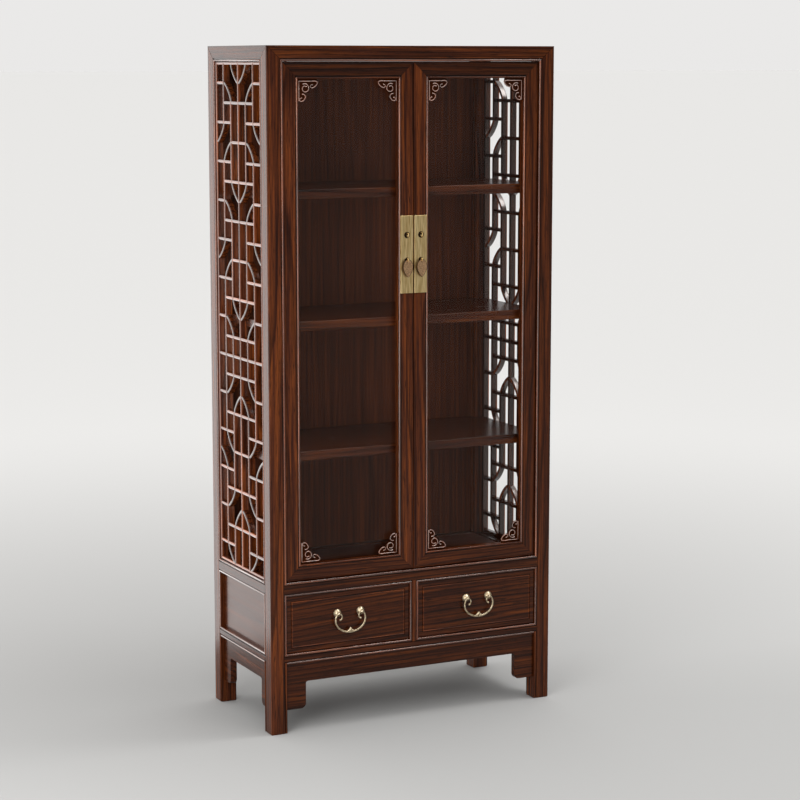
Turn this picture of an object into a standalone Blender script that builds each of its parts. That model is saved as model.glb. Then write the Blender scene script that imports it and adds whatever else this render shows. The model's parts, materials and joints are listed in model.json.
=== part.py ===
"""Display cabinet in dark stained elm: glazed pivot doors, fretted sides and a pair of drawers.

Units are metres. +Z is up, +X is the viewer's right and the front faces -Y.
The origin lies on the floor under the middle of the carcase.
"""

import math

import bmesh
import bpy
from mathutils import Matrix, Vector

# Overall size
CABINET_WIDTH = 0.840
CABINET_DEPTH = 0.400
CABINET_HEIGHT = 1.800

# Gap left between pieces that touch
FIT = 0.0003

# Posts and rails
POST_SIZE = 0.045
POST_ROUND = 0.003
RAIL_ROUND = 0.0012
TOP_RAIL_HEIGHT = 0.040
MID_RAIL_HEIGHT = 0.037
LOWER_RAIL_HEIGHT = 0.027
LOWER_RAIL_TOP = 0.215
DRAWER_OPENING_HEIGHT = 0.155
DIVIDER_WIDTH = 0.025

# Boards of the carcase
TOP_PANEL_THICKNESS = 0.020
TOP_PANEL_DROP = 0.004
FLOOR_THICKNESS = 0.014
FLOOR_DROP = 0.003
SIDE_PANEL_THICKNESS = 0.010
SIDE_PANEL_RECESS = 0.011
BACK_PANEL_THICKNESS = 0.010
BACK_PANEL_RECESS = 0.012

# Shelves
SHELF_COUNT = 3
SHELF_THICKNESS = 0.026
SHELF_SETBACK = 0.006
HOUSING_DEPTH = 0.006

# Aprons with bracket ends
APRON_EDGE_HEIGHT = 0.134
BRACKET_FOOT_HEIGHT = 0.061
BRACKET_ROUND = 0.014
BRACKET_FILLET = 0.006
APRON_THICKNESS = 0.018
FRONT_APRON_RECESS = 0.008
FRONT_BRACKET_WIDTH = 0.058
SIDE_APRON_RECESS = 0.010
SIDE_BRACKET_WIDTH = 0.046

# Side lattice: a square grid of bars whose uprights break into sweeps
LATTICE_BAR = 0.009
LATTICE_DEPTH = 0.016
LATTICE_RECESS = 0.003
LATTICE_COLUMNS = 6
LATTICE_ROWS = 26
FRET_REPEAT_ROWS = 6
FRET_MIRROR_ROW = 15
SWEEP_STEPS = 4
SWEEP_HANDLE = 0.30

# Doors
DOOR_GAP = 0.002
MEETING_GAP = 0.002
DOOR_RECESS = 0.005
DOOR_THICKNESS = 0.026
DOOR_BAR_WIDTH = 0.042
DOOR_ROUND = 0.0025
QUIRK_INSET = 0.006
QUIRK_WIDTH = 0.002
QUIRK_DEPTH = 0.0015
REBATE_WIDTH = 0.008
REBATE_DEPTH = 0.005
GLASS_THICKNESS = 0.004
GLASS_PLAY = 0.0005
PIVOT_INSET_X = 0.010
PIVOT_INSET_Y = 0.006
PIVOT_RADIUS = 0.004
PIVOT_LENGTH = 0.012
PIVOT_PLAY = 0.0004
PIVOT_ROOT = 0.004

# Carved corners of the doors: discs strung along both edges of the glass
SPANDREL_THICKNESS = 0.008
SPANDREL_SETBACK = 0.0015
SPANDREL_ROOT = 0.001
SPANDREL_EDGE_DISC_ALONG = 0.051
SPANDREL_EDGE_DISC_ACROSS = 0.008
SPANDREL_EDGE_DISC_RADIUS = 0.009
SPANDREL_MID_DISC_ALONG = 0.037
SPANDREL_MID_DISC_ACROSS = 0.013
SPANDREL_MID_DISC_RADIUS = 0.010
SPANDREL_CORNER_DISC = 0.021
SPANDREL_CORNER_DISC_RADIUS = 0.014
SPANDREL_EYE_SHARE = 0.45
SPANDREL_ARC_STEP = math.radians(40)

# Brass plates, eyes and drop pendants on the meeting stiles
PLATE_WIDTH = 0.037
PLATE_HEIGHT = 0.205
PLATE_THICKNESS = 0.0015
PLATE_EDGE = 0.001
PLATE_ROUND = 0.0003
PLATE_BOTTOM = 1.154
UPPER_EYE_RISE = 0.154
LOWER_EYE_RISE = 0.088
EYE_WIRE_RADIUS = 0.001
EYE_RING_RADIUS = 0.0032
EYE_SHANK = 0.0015
EYE_ROOT = 0.0008
EYE_TURN = math.radians(270)
PENDANT_THICKNESS = 0.002
PENDANT_RING_OUTER = 0.0045
PENDANT_RING_INNER = 0.0025
PENDANT_SAG = 0.0006
PENDANT_NECK_HALF = 0.005
PENDANT_SHOULDER_HALF = 0.013
PENDANT_BELLY_HALF = 0.0105
PENDANT_LENGTH = 0.043
PENDANT_SHOULDER_DROP = 0.0075
PENDANT_SHOULDER_RUN = 0.007
PENDANT_BELLY_DROP = 0.022
PENDANT_WAIST_DROP = 0.030

# Drawers
DRAWER_GAP = 0.0015
DRAWER_RECESS = 0.004
DRAWER_FRONT_THICKNESS = 0.020
DRAWER_BACK_CLEARANCE = 0.011
DRAWER_SIDE_HEIGHT = 0.115
DRAWER_BOARD = 0.012
DRAWER_BOTTOM_BOARD = 0.006
DRAWER_BOTTOM_RISE = 0.004
FIELD_MARGIN = 0.017
FIELD_SLOPE = 0.003
FIELD_RISE = 0.0015
RUNNER_WIDTH = 0.030
RUNNER_HEIGHT = 0.018
GUIDE_HEIGHT = 0.030

# Brass bail pulls
PULL_RISE = 0.018
PULL_SPACING = 0.068
CAP_RADIUS = 0.0115
CAP_HEIGHT = 0.007
EYEBOLT_RADIUS = 0.005
EYEBOLT_THICKNESS = 0.003
EYEBOLT_REACH = 0.010
BAIL_RADIUS = 0.0023
BAIL_PLAY = 0.0006
BAIL_OVERHANG = 0.0094
BAIL_SHOULDER_DROP = 0.0186
BAIL_DROP = 0.052
CURL_REACH = 0.0095
CURL_HOOK = 0.005
CURL_HOOK_DROP = 0.0075
BUD_HALF_WIDTH = 0.009
BUD_HALF_HEIGHT = 0.006
BUD_HALF_DEPTH = 0.004
BUD_RISE = 0.006

# Facets of round pieces
ROUND_SEGMENTS = 16
DOME_STEPS = 4
FILLET_STEPS = 3
BRACKET_ROUND_STEPS = 4
LOBE_EYE_STEPS = 8
EYE_RING_STEPS = 14
PENDANT_RING_STEPS = 5
PENDANT_HOLE_STEPS = 10
BAIL_ARC_STEPS = 6
CURL_STEPS = 4
HOOK_STEPS = 3
BUD_SEGMENTS = 10
BUD_RINGS = 6
SMOOTH_ANGLE = math.radians(35)

# Distances that only keep cuts and welds clean
CUT_OVERRUN = 0.003
WELD = 0.00001

# Planes worked out from the sizes above
HALF_WIDTH = CABINET_WIDTH / 2
HALF_DEPTH = CABINET_DEPTH / 2
INNER_X = HALF_WIDTH - POST_SIZE
INNER_Y = HALF_DEPTH - POST_SIZE
TOP_RAIL_BOTTOM = CABINET_HEIGHT - TOP_RAIL_HEIGHT
LOWER_RAIL_BOTTOM = LOWER_RAIL_TOP - LOWER_RAIL_HEIGHT
MID_RAIL_BOTTOM = LOWER_RAIL_TOP + DRAWER_OPENING_HEIGHT
MID_RAIL_TOP = MID_RAIL_BOTTOM + MID_RAIL_HEIGHT
FLOOR_TOP = MID_RAIL_TOP - FLOOR_DROP
TOP_PANEL_BOTTOM = CABINET_HEIGHT - TOP_PANEL_DROP - TOP_PANEL_THICKNESS
MITRE_BACKOFF = FIT * math.sqrt(0.5)
LATTICE_INNER_X = HALF_WIDTH - LATTICE_RECESS - LATTICE_DEPTH
BACK_PANEL_FRONT_Y = HALF_DEPTH - BACK_PANEL_RECESS - BACK_PANEL_THICKNESS
DOOR_FRONT_Y = -HALF_DEPTH + DOOR_RECESS
DOOR_BACK_Y = DOOR_FRONT_Y + DOOR_THICKNESS
DOOR_BOTTOM = MID_RAIL_TOP + DOOR_GAP
DOOR_TOP = TOP_RAIL_BOTTOM - DOOR_GAP
DOOR_MIDDLE_Z = (DOOR_BOTTOM + DOOR_TOP) / 2
DOOR_HEIGHT = DOOR_TOP - DOOR_BOTTOM
DOOR_WIDTH = INNER_X - DOOR_GAP - MEETING_GAP / 2
PLATE_FRONT_Y = DOOR_FRONT_Y - FIT - PLATE_THICKNESS
EYE_STAND = EYE_SHANK + EYE_WIRE_RADIUS + EYE_RING_RADIUS
EYE_CENTRE_Y = PLATE_FRONT_Y - EYE_STAND
DRAWER_FRONT_Y = -HALF_DEPTH + DRAWER_RECESS
FIELD_Y = DRAWER_FRONT_Y - FIELD_RISE
BAIL_AXIS_Y = FIELD_Y - FIT - EYEBOLT_REACH
BAIL_AXIS_Z = (LOWER_RAIL_TOP + MID_RAIL_BOTTOM) / 2 + PULL_RISE

# Finishes: colour, roughness, metallic, alpha
ELM = ((0.085, 0.026, 0.015), 0.38, 0.0, 1.0)
INNER_ELM = ((0.060, 0.020, 0.012), 0.55, 0.0, 1.0)
BRASS = ((0.50, 0.38, 0.17), 0.34, 1.0, 1.0)
GLASS = ((0.86, 0.90, 0.90), 0.04, 0.0, 0.15)

# Which way a flat outline faces, as turns about X and Z
FACING_FRONT = (math.pi / 2, 0.0, 0.0)
FACING_SIDE = (math.pi / 2, 0.0, math.pi / 2)
FACING_UP = (0.0, 0.0, 0.0)

SIDES = {"left": -1, "right": 1}
ENDS = {"front": -1, "back": 1}


def clear_scene():
    """Remove every object that the file opened with."""
    for thing in list(bpy.data.objects):
        bpy.data.objects.remove(thing, do_unlink=True)


def make_collection(name):
    """Add a collection to the scene and return it."""
    collection = bpy.data.collections.new(name)
    bpy.context.scene.collection.children.link(collection)
    return collection


def make_material(name, finish):
    """Make a Principled material from a finish."""
    colour, roughness, metallic, alpha = finish
    material = bpy.data.materials.new(name)
    material.use_nodes = True
    shader = material.node_tree.nodes["Principled BSDF"]
    shader.inputs["Base Color"].default_value = (*colour, 1.0)
    shader.inputs["Roughness"].default_value = roughness
    shader.inputs["Metallic"].default_value = metallic
    shader.inputs["Alpha"].default_value = alpha
    return material


def add_part(name, data, finish, location=(0, 0, 0), rotation=(0, 0, 0), carrier=None):
    """Add a sub-part at a place in the world, on its carrier empty if it moves."""
    part = bpy.data.objects.new(name, data)
    part.rotation_euler = rotation
    data.materials.append(make_material(name, finish))
    CABINET.objects.link(part)
    set_place(part, location, carrier)
    return part


def add_carrier(name, location, carrier=None):
    """Add an empty on a joint's axis for the pieces that move with it."""
    empty = bpy.data.objects.new(name, None)
    CABINET.objects.link(empty)
    set_place(empty, location, carrier)
    return empty


def set_place(thing, location, carrier):
    """Put an object at a place in the world; carriers are never turned, so only their places add up."""
    thing.location = location
    thing.parent = carrier
    while carrier:
        thing.location -= carrier.location
        carrier = carrier.parent


def mesh_from(bm, name, is_round=False):
    """Turn a bmesh into a mesh with its faces pointing out; round shapes are shaded smooth."""
    bmesh.ops.recalc_face_normals(bm, faces=bm.faces)
    mesh = bpy.data.meshes.new(name)
    bm.to_mesh(mesh)
    bm.free()
    if is_round:
        mesh.shade_smooth()
        mesh.set_sharp_from_angle(angle=SMOOTH_ANGLE)
    return mesh


def box_mesh(name, size, rounding=0.0):
    """Make a closed box centred on the origin, with its edges eased."""
    bm = bmesh.new()
    bmesh.ops.create_cube(bm, size=1.0)
    bmesh.ops.scale(bm, vec=size, verts=bm.verts)
    if rounding:
        bmesh.ops.bevel(bm, geom=bm.edges[:], offset=rounding, segments=1, profile=0.5, affect="EDGES")
    return mesh_from(bm, name)


def add_board(name, low, high, finish, rounding=0.0, carrier=None):
    """Add one board between two corners, with its origin at its middle."""
    low, high = Vector(low), Vector(high)
    return add_part(name, box_mesh(name, high - low, rounding), finish, (low + high) / 2, carrier=carrier)


def outline_curve(name, loops, thickness):
    """Make a flat curve cut to closed outlines; an outline inside another is a hole."""
    curve = bpy.data.curves.new(name, "CURVE")
    curve.dimensions = "2D"
    curve.fill_mode = "BOTH"
    curve.extrude = thickness / 2
    for loop in loops:
        spline = curve.splines.new("POLY")
        spline.points.add(len(loop) - 1)
        for point, (across, up) in zip(spline.points, loop):
            point.co = (across, up, 0.0, 1.0)
        spline.use_cyclic_u = True
    return curve


def add_outline(name, loops, thickness, finish, location, facing, carrier=None):
    """Add a flat piece cut to closed outlines."""
    return add_part(name, outline_curve(name, loops, thickness), finish, location, facing, carrier)


def wire_curve(name, run, radius):
    """Make a round wire along a list of points."""
    curve = bpy.data.curves.new(name, "CURVE")
    curve.dimensions = "3D"
    curve.bevel_depth = radius
    curve.bevel_resolution = 1
    curve.use_fill_caps = True
    spline = curve.splines.new("POLY")
    spline.points.add(len(run) - 1)
    for point, place in zip(spline.points, run):
        point.co = (*place, 1.0)
    return curve


def add_cutter(name, mesh, location, rotation=(0, 0, 0)):
    """Add a hidden shape that cuts or joins another piece."""
    cutter = bpy.data.objects.new(name, mesh)
    cutter.location = location
    cutter.rotation_euler = rotation
    cutter.hide_render = True
    cutter.display_type = "WIRE"
    CUTTERS.objects.link(cutter)
    return cutter


def combine(part, operation, tool):
    """Join or cut a part with another shape."""
    modifier = part.modifiers.new(tool.name, "BOOLEAN")
    modifier.operation = operation
    modifier.solver = "EXACT"
    modifier.object = tool


def cylinder_mesh(name, radius, length):
    """Make a closed cylinder about Z, centred on the origin."""
    bm = bmesh.new()
    sizes = {"radius1": radius, "radius2": radius, "depth": length}
    bmesh.ops.create_cone(bm, cap_ends=True, segments=ROUND_SEGMENTS, **sizes)
    return mesh_from(bm, name, is_round=True)


def finished_mesh(thing):
    """Read an object's finished mesh with its loose caps welded, then remove the object."""
    bpy.context.view_layer.update()
    graph = bpy.context.evaluated_depsgraph_get()
    mesh = bpy.data.meshes.new_from_object(thing.evaluated_get(graph))
    bm = bmesh.new()
    bm.from_mesh(mesh)
    bmesh.ops.remove_doubles(bm, verts=bm.verts, dist=WELD)
    bpy.data.meshes.remove(mesh)
    welded = mesh_from(bm, thing.name, is_round=True)
    bpy.data.objects.remove(thing, do_unlink=True)
    return welded


def arc_points(centre, radii, start, end, steps):
    """Points along an elliptical arc, both ends included."""
    points = []
    for index in range(steps + 1):
        angle = start + (end - start) * index / steps
        points.append((centre[0] + radii[0] * math.cos(angle), centre[1] + radii[1] * math.sin(angle)))
    return points


# Carcase frame
def build_post(across, along, name):
    """A square post that runs on as a leg; its head is a point that the mitred top rails close round."""
    outer = Vector((across * HALF_WIDTH, along * HALF_DEPTH, 0))
    inner = Vector((across * INNER_X, along * INNER_Y, 0))
    bm = bmesh.new()
    for x in (outer.x, inner.x):
        for y in (outer.y, inner.y):
            bm.verts.new((x, y, 0))
            bm.verts.new((x, y, TOP_RAIL_BOTTOM - MITRE_BACKOFF))
    bm.verts.new((outer.x, outer.y, CABINET_HEIGHT - MITRE_BACKOFF))
    close_hull(bm)
    arrises = [edge for edge in bm.edges if is_along(edge, Vector((0, 0, 1)))]
    bmesh.ops.bevel(bm, geom=arrises, offset=POST_ROUND, segments=2, profile=0.5, affect="EDGES")
    bmesh.ops.translate(bm, vec=-(outer + inner) / 2, verts=bm.verts)
    post = add_part(name, mesh_from(bm, name), ELM, (outer + inner) / 2)
    cut_shelf_housings(post, across, along)


def close_hull(bm):
    """Wrap the loose points of a bmesh in their convex hull, with flat faces whole."""
    bmesh.ops.convex_hull(bm, input=bm.verts)
    bmesh.ops.dissolve_limit(bm, angle_limit=math.radians(1), verts=bm.verts, edges=bm.edges)


def is_along(edge, direction):
    """Say whether an edge runs along a direction."""
    run = (edge.verts[1].co - edge.verts[0].co).normalized()
    return abs(run.dot(direction)) > math.cos(math.radians(1))


def build_top_rail(name, run, sign):
    """A top rail whose ends come to points, mitred to the post below and to the next rail."""
    half = HALF_WIDTH if run == 0 else HALF_DEPTH
    inner = INNER_X if run == 0 else INNER_Y
    outer_face = sign * (HALF_DEPTH if run == 0 else HALF_WIDTH)
    inner_face = sign * (INNER_Y if run == 0 else INNER_X)
    bm = bmesh.new()
    for end in (-1, 1):
        for face in (outer_face, inner_face):
            for height in (TOP_RAIL_BOTTOM, CABINET_HEIGHT):
                add_run_point(bm, run, end * (inner - MITRE_BACKOFF), face, height)
        add_run_point(bm, run, end * (half - MITRE_BACKOFF), outer_face, CABINET_HEIGHT)
    close_hull(bm)
    along = Vector((1, 0, 0)) if run == 0 else Vector((0, 1, 0))
    arrises = [edge for edge in bm.edges if is_along(edge, along)]
    bmesh.ops.bevel(bm, geom=arrises, offset=RAIL_ROUND, segments=1, profile=0.5, affect="EDGES")
    across = Vector((0, 1, 0)) if run == 0 else Vector((1, 0, 0))
    middle = across * (outer_face + inner_face) / 2 + Vector((0, 0, CABINET_HEIGHT - TOP_RAIL_HEIGHT / 2))
    bmesh.ops.translate(bm, vec=-middle, verts=bm.verts)
    return add_part(name, mesh_from(bm, name), ELM, middle)


def add_run_point(bm, run, along, across, height):
    """Add a point to a rail that runs along X or along Y."""
    bm.verts.new((along, across, height) if run == 0 else (across, along, height))


def build_rails(label, bottom, top):
    """Front, back and side rails between the posts at one height."""
    rails = {}
    for name, sign in ENDS.items():
        near, far = sorted((sign * HALF_DEPTH, sign * INNER_Y))
        low = (-INNER_X + FIT, near, bottom)
        high = (INNER_X - FIT, far, top)
        rails[name] = add_board(f"{label}_{name}", low, high, ELM, RAIL_ROUND)
    for name, sign in SIDES.items():
        near, far = sorted((sign * HALF_WIDTH, sign * INNER_X))
        low = (near, -INNER_Y + FIT, bottom)
        high = (far, INNER_Y - FIT, top)
        rails[name] = add_board(f"{label}_{name}", low, high, ELM, RAIL_ROUND)
    return rails


def build_frame():
    """Posts, rails and the upright between the drawers."""
    for end, along in ENDS.items():
        for side, across in SIDES.items():
            build_post(across, along, f"post_{end}_{side}")
    top_rails = {end: build_top_rail(f"top_rail_{end}", 0, sign) for end, sign in ENDS.items()}
    for side, sign in SIDES.items():
        build_top_rail(f"top_rail_{side}", 1, sign)
    mid_rails = build_rails("mid_rail", MID_RAIL_BOTTOM, MID_RAIL_TOP)
    build_rails("lower_rail", LOWER_RAIL_BOTTOM, LOWER_RAIL_TOP)
    low = (-DIVIDER_WIDTH / 2, -HALF_DEPTH, LOWER_RAIL_TOP + FIT)
    high = (DIVIDER_WIDTH / 2, -INNER_Y, MID_RAIL_BOTTOM - FIT)
    add_board("drawer_divider", low, high, ELM, RAIL_ROUND)
    cut_pivot_sockets(top_rails["front"], mid_rails["front"])


def pivot_place(side):
    """Where a door's pivot stands in plan."""
    return side * (INNER_X - DOOR_GAP - PIVOT_INSET_X), DOOR_FRONT_Y + PIVOT_INSET_Y


def cut_pivot_sockets(top_rail, mid_rail):
    """Round sockets in the front rails that the door pivots turn in."""
    depth = PIVOT_LENGTH - DOOR_GAP + FIT
    for side, sign in SIDES.items():
        x, y = pivot_place(sign)
        for rail, face in ((top_rail, TOP_RAIL_BOTTOM), (mid_rail, MID_RAIL_TOP)):
            name = f"{rail.name}_socket_{side}"
            mesh = cylinder_mesh(name, PIVOT_RADIUS + PIVOT_PLAY, 2 * depth)
            combine(rail, "DIFFERENCE", add_cutter(name, mesh, (x, y, face)))


# Boards of the carcase
def build_boards():
    """Top panel, cabinet floor, side panels beside the drawers and the back panels."""
    reach_x, reach_y = INNER_X - FIT, INNER_Y - FIT
    top = TOP_PANEL_BOTTOM + TOP_PANEL_THICKNESS
    add_board("top_panel", (-reach_x, -reach_y, TOP_PANEL_BOTTOM), (reach_x, reach_y, top), ELM)
    low = (-reach_x, -reach_y, FLOOR_TOP - FLOOR_THICKNESS)
    add_board("cabinet_floor", low, (reach_x, reach_y, FLOOR_TOP), INNER_ELM)
    drawer_band = (LOWER_RAIL_TOP + FIT, MID_RAIL_BOTTOM - FIT)
    for side, sign in SIDES.items():
        outer = HALF_WIDTH - SIDE_PANEL_RECESS
        near, far = sorted((sign * outer, sign * (outer - SIDE_PANEL_THICKNESS)))
        low, high = (near, -reach_y, drawer_band[0]), (far, reach_y, drawer_band[1])
        add_board(f"side_panel_{side}", low, high, ELM)
    back = BACK_PANEL_FRONT_Y + BACK_PANEL_THICKNESS
    door_band = (MID_RAIL_TOP + FIT, TOP_RAIL_BOTTOM - FIT)
    for name, (bottom, top) in {"back_panel_upper": door_band, "back_panel_lower": drawer_band}.items():
        add_board(name, (-reach_x, BACK_PANEL_FRONT_Y, bottom), (reach_x, back, top), INNER_ELM)


def shelf_tops():
    """Heights of the shelves, which share the space between floor and top panel evenly."""
    pitch = (TOP_PANEL_BOTTOM - FLOOR_TOP) / (SHELF_COUNT + 1)
    return [FLOOR_TOP + pitch * (index + 1) for index in range(SHELF_COUNT)]


def build_shelves():
    """Shelves that reach out to the lattices and are housed in the posts' inner corners."""
    post_x, post_y = INNER_X - FIT, INNER_Y + HOUSING_DEPTH - FIT
    end_x = LATTICE_INNER_X - FIT
    front, back = DOOR_BACK_Y + SHELF_SETBACK, BACK_PANEL_FRONT_Y - FIT
    right = [(post_x, front), (post_x, -post_y), (end_x, -post_y)]
    right += [(end_x, post_y), (post_x, post_y), (post_x, back)]
    outline = right + [(-x, y) for x, y in reversed(right)]
    for index, top in enumerate(shelf_tops()):
        middle = (0, 0, top - SHELF_THICKNESS / 2)
        add_outline(f"shelf_{index + 1}", [outline], SHELF_THICKNESS, INNER_ELM, middle, FACING_UP)


def cut_shelf_housings(post, across, along):
    """Notches in a post's inner corner that the shelves rest in."""
    near_x, far_x = INNER_X - CUT_OVERRUN, LATTICE_INNER_X
    near_y, far_y = INNER_Y - CUT_OVERRUN, INNER_Y + HOUSING_DEPTH
    size = (far_x - near_x, far_y - near_y, SHELF_THICKNESS + 2 * FIT)
    for index, top in enumerate(shelf_tops()):
        name = f"{post.name}_housing_{index + 1}"
        middle_x, middle_y = across * (near_x + far_x) / 2, along * (near_y + far_y) / 2
        cutter = add_cutter(name, box_mesh(name, size), (middle_x, middle_y, top - SHELF_THICKNESS / 2))
        combine(post, "DIFFERENCE", cutter)


# Aprons
def apron_outline(half_length, bracket_width):
    """Outline of an apron whose ends drop as brackets, symmetric about its middle."""
    inner = half_length - bracket_width
    fillet_centre = (inner - BRACKET_FILLET, APRON_EDGE_HEIGHT - BRACKET_FILLET)
    round_centre = (inner + BRACKET_ROUND, BRACKET_FOOT_HEIGHT + BRACKET_ROUND)
    fillet_radii = (BRACKET_FILLET, BRACKET_FILLET)
    round_radii = (BRACKET_ROUND, BRACKET_ROUND)
    right = arc_points(fillet_centre, fillet_radii, math.pi / 2, 0, FILLET_STEPS)
    right += arc_points(round_centre, round_radii, math.pi, math.pi * 1.5, BRACKET_ROUND_STEPS)
    right += [(half_length, BRACKET_FOOT_HEIGHT), (half_length, LOWER_RAIL_BOTTOM - FIT)]
    return right + [(-x, z) for x, z in reversed(right)]


def build_aprons():
    """Front apron and two side aprons under the lower rails."""
    front = apron_outline(INNER_X - FIT, FRONT_BRACKET_WIDTH)
    place = (0, -HALF_DEPTH + FRONT_APRON_RECESS + APRON_THICKNESS / 2, 0)
    add_outline("apron_front", [front], APRON_THICKNESS, ELM, place, FACING_FRONT)
    side_outline = apron_outline(INNER_Y - FIT, SIDE_BRACKET_WIDTH)
    for side, sign in SIDES.items():
        place = (sign * (HALF_WIDTH - SIDE_APRON_RECESS - APRON_THICKNESS / 2), 0, 0)
        add_outline(f"apron_{side}", [side_outline], APRON_THICKNESS, ELM, place, FACING_SIDE)


# Side lattices
# Bars across each row of the fret, as pairs of columns, by the row's place in the repeat
FRET_SPANS = {
    0: ((1, 5),),
    1: ((0, 1), (5, 6)),
    2: ((1, 5),),
    3: ((0, 2), (4, 6)),
    4: ((2, 4),),
    5: ((0, 2), (4, 6)),
}
# Sweeps below a row: the upright they break, the column where they lie level, and if they start upright
FRET_SWEEPS = {0: (2, 3, True), 1: (2, 1, False), 3: (1, 0, True), 4: (1, 2, False)}


def fret_joints(half_width, bottom, top):
    """A function that gives the place of each crossing of the fret's grid."""
    edge = LATTICE_BAR / 2
    column_pitch = 2 * (half_width - edge) / LATTICE_COLUMNS
    row_pitch = (top - bottom - LATTICE_BAR) / LATTICE_ROWS

    def place(joint):
        column, row = joint
        return Vector((column * column_pitch - half_width + edge, top - edge - row * row_pitch))

    return place


def sweep_points(place, upright_end, level_end):
    """A bar that leaves one crossing upright and arrives at the next one level."""
    start, end = place(upright_end), place(level_end)
    near = Vector((start.x, start.y + SWEEP_HANDLE * (end.y - start.y)))
    far = Vector((end.x - SWEEP_HANDLE * (end.x - start.x), end.y))
    points = []
    for index in range(SWEEP_STEPS + 1):
        t = index / SWEEP_STEPS
        s = 1 - t
        points.append(s**3 * start + 3 * s * s * t * near + 3 * s * t * t * far + t**3 * end)
    return points


def fret_bars(place):
    """Every bar of the fret from crossing to crossing, as a pair of joints and the points between them."""
    bars = {}

    def add_bar(a, b, points=None):
        bars[(a, b)] = points or [place(a), place(b)]

    for row in range(LATTICE_ROWS + 1):
        spans = ((0, LATTICE_COLUMNS),)
        if 0 < row < LATTICE_ROWS and row != FRET_MIRROR_ROW:
            mirrored = min(row, 2 * FRET_MIRROR_ROW - row)
            spans = FRET_SPANS[mirrored % FRET_REPEAT_ROWS]
        for start, end in spans:
            for column in range(start, end):
                add_bar((column, row), (column + 1, row))
    for row in range(LATTICE_ROWS):
        flipped = row >= FRET_MIRROR_ROW
        mirrored = 2 * FRET_MIRROR_ROW - 1 - row if flipped else row
        sweep = FRET_SWEEPS.get(mirrored % FRET_REPEAT_ROWS)
        broken = ()
        if sweep:
            upright, level, upright_on_top = sweep
            broken = (upright, LATTICE_COLUMNS - upright)
            rows = (row, row + 1) if upright_on_top != flipped else (row + 1, row)
            for a, b in ((upright, level), (LATTICE_COLUMNS - upright, LATTICE_COLUMNS - level)):
                joints = ((a, rows[0]), (b, rows[1]))
                add_bar(*joints, sweep_points(place, *joints))
        for column in range(LATTICE_COLUMNS + 1):
            if column not in broken:
                add_bar((column, row), (column, row + 1))
    return bars


def fret_cells(bars):
    """Trace the cells that the bars enclose, each as the bars' middle lines in order."""
    ways = {}
    for (a, b), points in bars.items():
        ways.setdefault(a, []).append((b, points))
        ways.setdefault(b, []).append((a, points[::-1]))

    def heading(way):
        step = way[1][1] - way[1][0]
        return math.atan2(step.y, step.x)

    for joint in ways:
        ways[joint].sort(key=heading)
    walked = set()
    cells = []
    for start in ways:
        for first, _ in ways[start]:
            here, target = start, first
            cell = []
            while (here, target) not in walked:
                walked.add((here, target))
                ends = [way[0] for way in ways[here]]
                cell += ways[here][ends.index(target)][1][:-1]
                back = [way[0] for way in ways[target]].index(here)
                here, target = target, ways[target][back - 1][0]
            if cell and signed_area(cell) > 0:
                cells.append(cell)
    return cells


def signed_area(loop):
    """Area of a loop, positive where it runs anticlockwise."""
    return sum(a.cross(b) for a, b in zip(loop, loop[1:] + loop[:1])) / 2


def inset_loop(loop, distance):
    """Draw an anticlockwise loop in by a distance, leaving out points on a straight run."""
    corners = []
    for before, here, after in zip(loop[-1:] + loop[:-1], loop, loop[1:] + loop[:1]):
        arriving, leaving = (here - before).normalized(), (after - here).normalized()
        if arriving.angle(leaving) < math.radians(1):
            continue
        left_in, left_out = arriving.orthogonal(), leaving.orthogonal()
        corners.append(here + (left_in + left_out) * distance / (1 + left_in.dot(left_out)))
    return corners


def build_lattices():
    """The fretted sides: one panel each, with every cell of the fret cut through."""
    half_width = INNER_Y - FIT
    bottom, top = MID_RAIL_TOP + FIT, TOP_RAIL_BOTTOM - FIT
    place = fret_joints(half_width, bottom, top)
    cells = fret_cells(fret_bars(place))
    rim = [(-half_width, bottom), (half_width, bottom), (half_width, top), (-half_width, top)]
    loops = [rim] + [[tuple(point) for point in inset_loop(cell, LATTICE_BAR / 2)] for cell in cells]
    for side, sign in SIDES.items():
        middle = (sign * (HALF_WIDTH - LATTICE_RECESS - LATTICE_DEPTH / 2), 0, 0)
        add_outline(f"lattice_{side}", loops, LATTICE_DEPTH, ELM, middle, FACING_SIDE)


# Doors
def door_section():
    """Section of a door's bar: across from its outer edge, and forward from its back."""
    width, front = DOOR_BAR_WIDTH, DOOR_THICKNESS
    quirk = width - QUIRK_INSET
    return [
        (0, 0),
        (width - REBATE_WIDTH, 0),
        (width - REBATE_WIDTH, REBATE_DEPTH),
        (width, REBATE_DEPTH),
        (width, front - DOOR_ROUND),
        (width - DOOR_ROUND, front),
        (quirk + QUIRK_WIDTH / 2, front),
        (quirk, front - QUIRK_DEPTH),
        (quirk - QUIRK_WIDTH / 2, front),
        (DOOR_ROUND, front),
        (0, front - DOOR_ROUND),
    ]


def build_door_bar(name, length, outer_middle, inward, carrier):
    """A bar of a door's frame with both ends mitred; outer_middle is on its outer edge at the back."""
    front = Vector((0, -1, 0))
    bm = bmesh.new()
    ring = [bm.verts.new((across, forward, 0)) for across, forward in door_section()]
    start = bm.faces.new(ring)
    grown = bmesh.ops.extrude_face_region(bm, geom=[start])
    far_end = [item for item in grown["geom"] if isinstance(item, bmesh.types.BMVert)]
    for vert in bm.verts:
        reach = length / 2 - vert.co.x - MITRE_BACKOFF
        vert.co.z = reach if vert in far_end else -reach
    axes = Matrix((inward, front, inward.cross(front))).transposed()
    return add_part(name, mesh_from(bm, name), ELM, outer_middle, axes.to_euler(), carrier)


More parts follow.
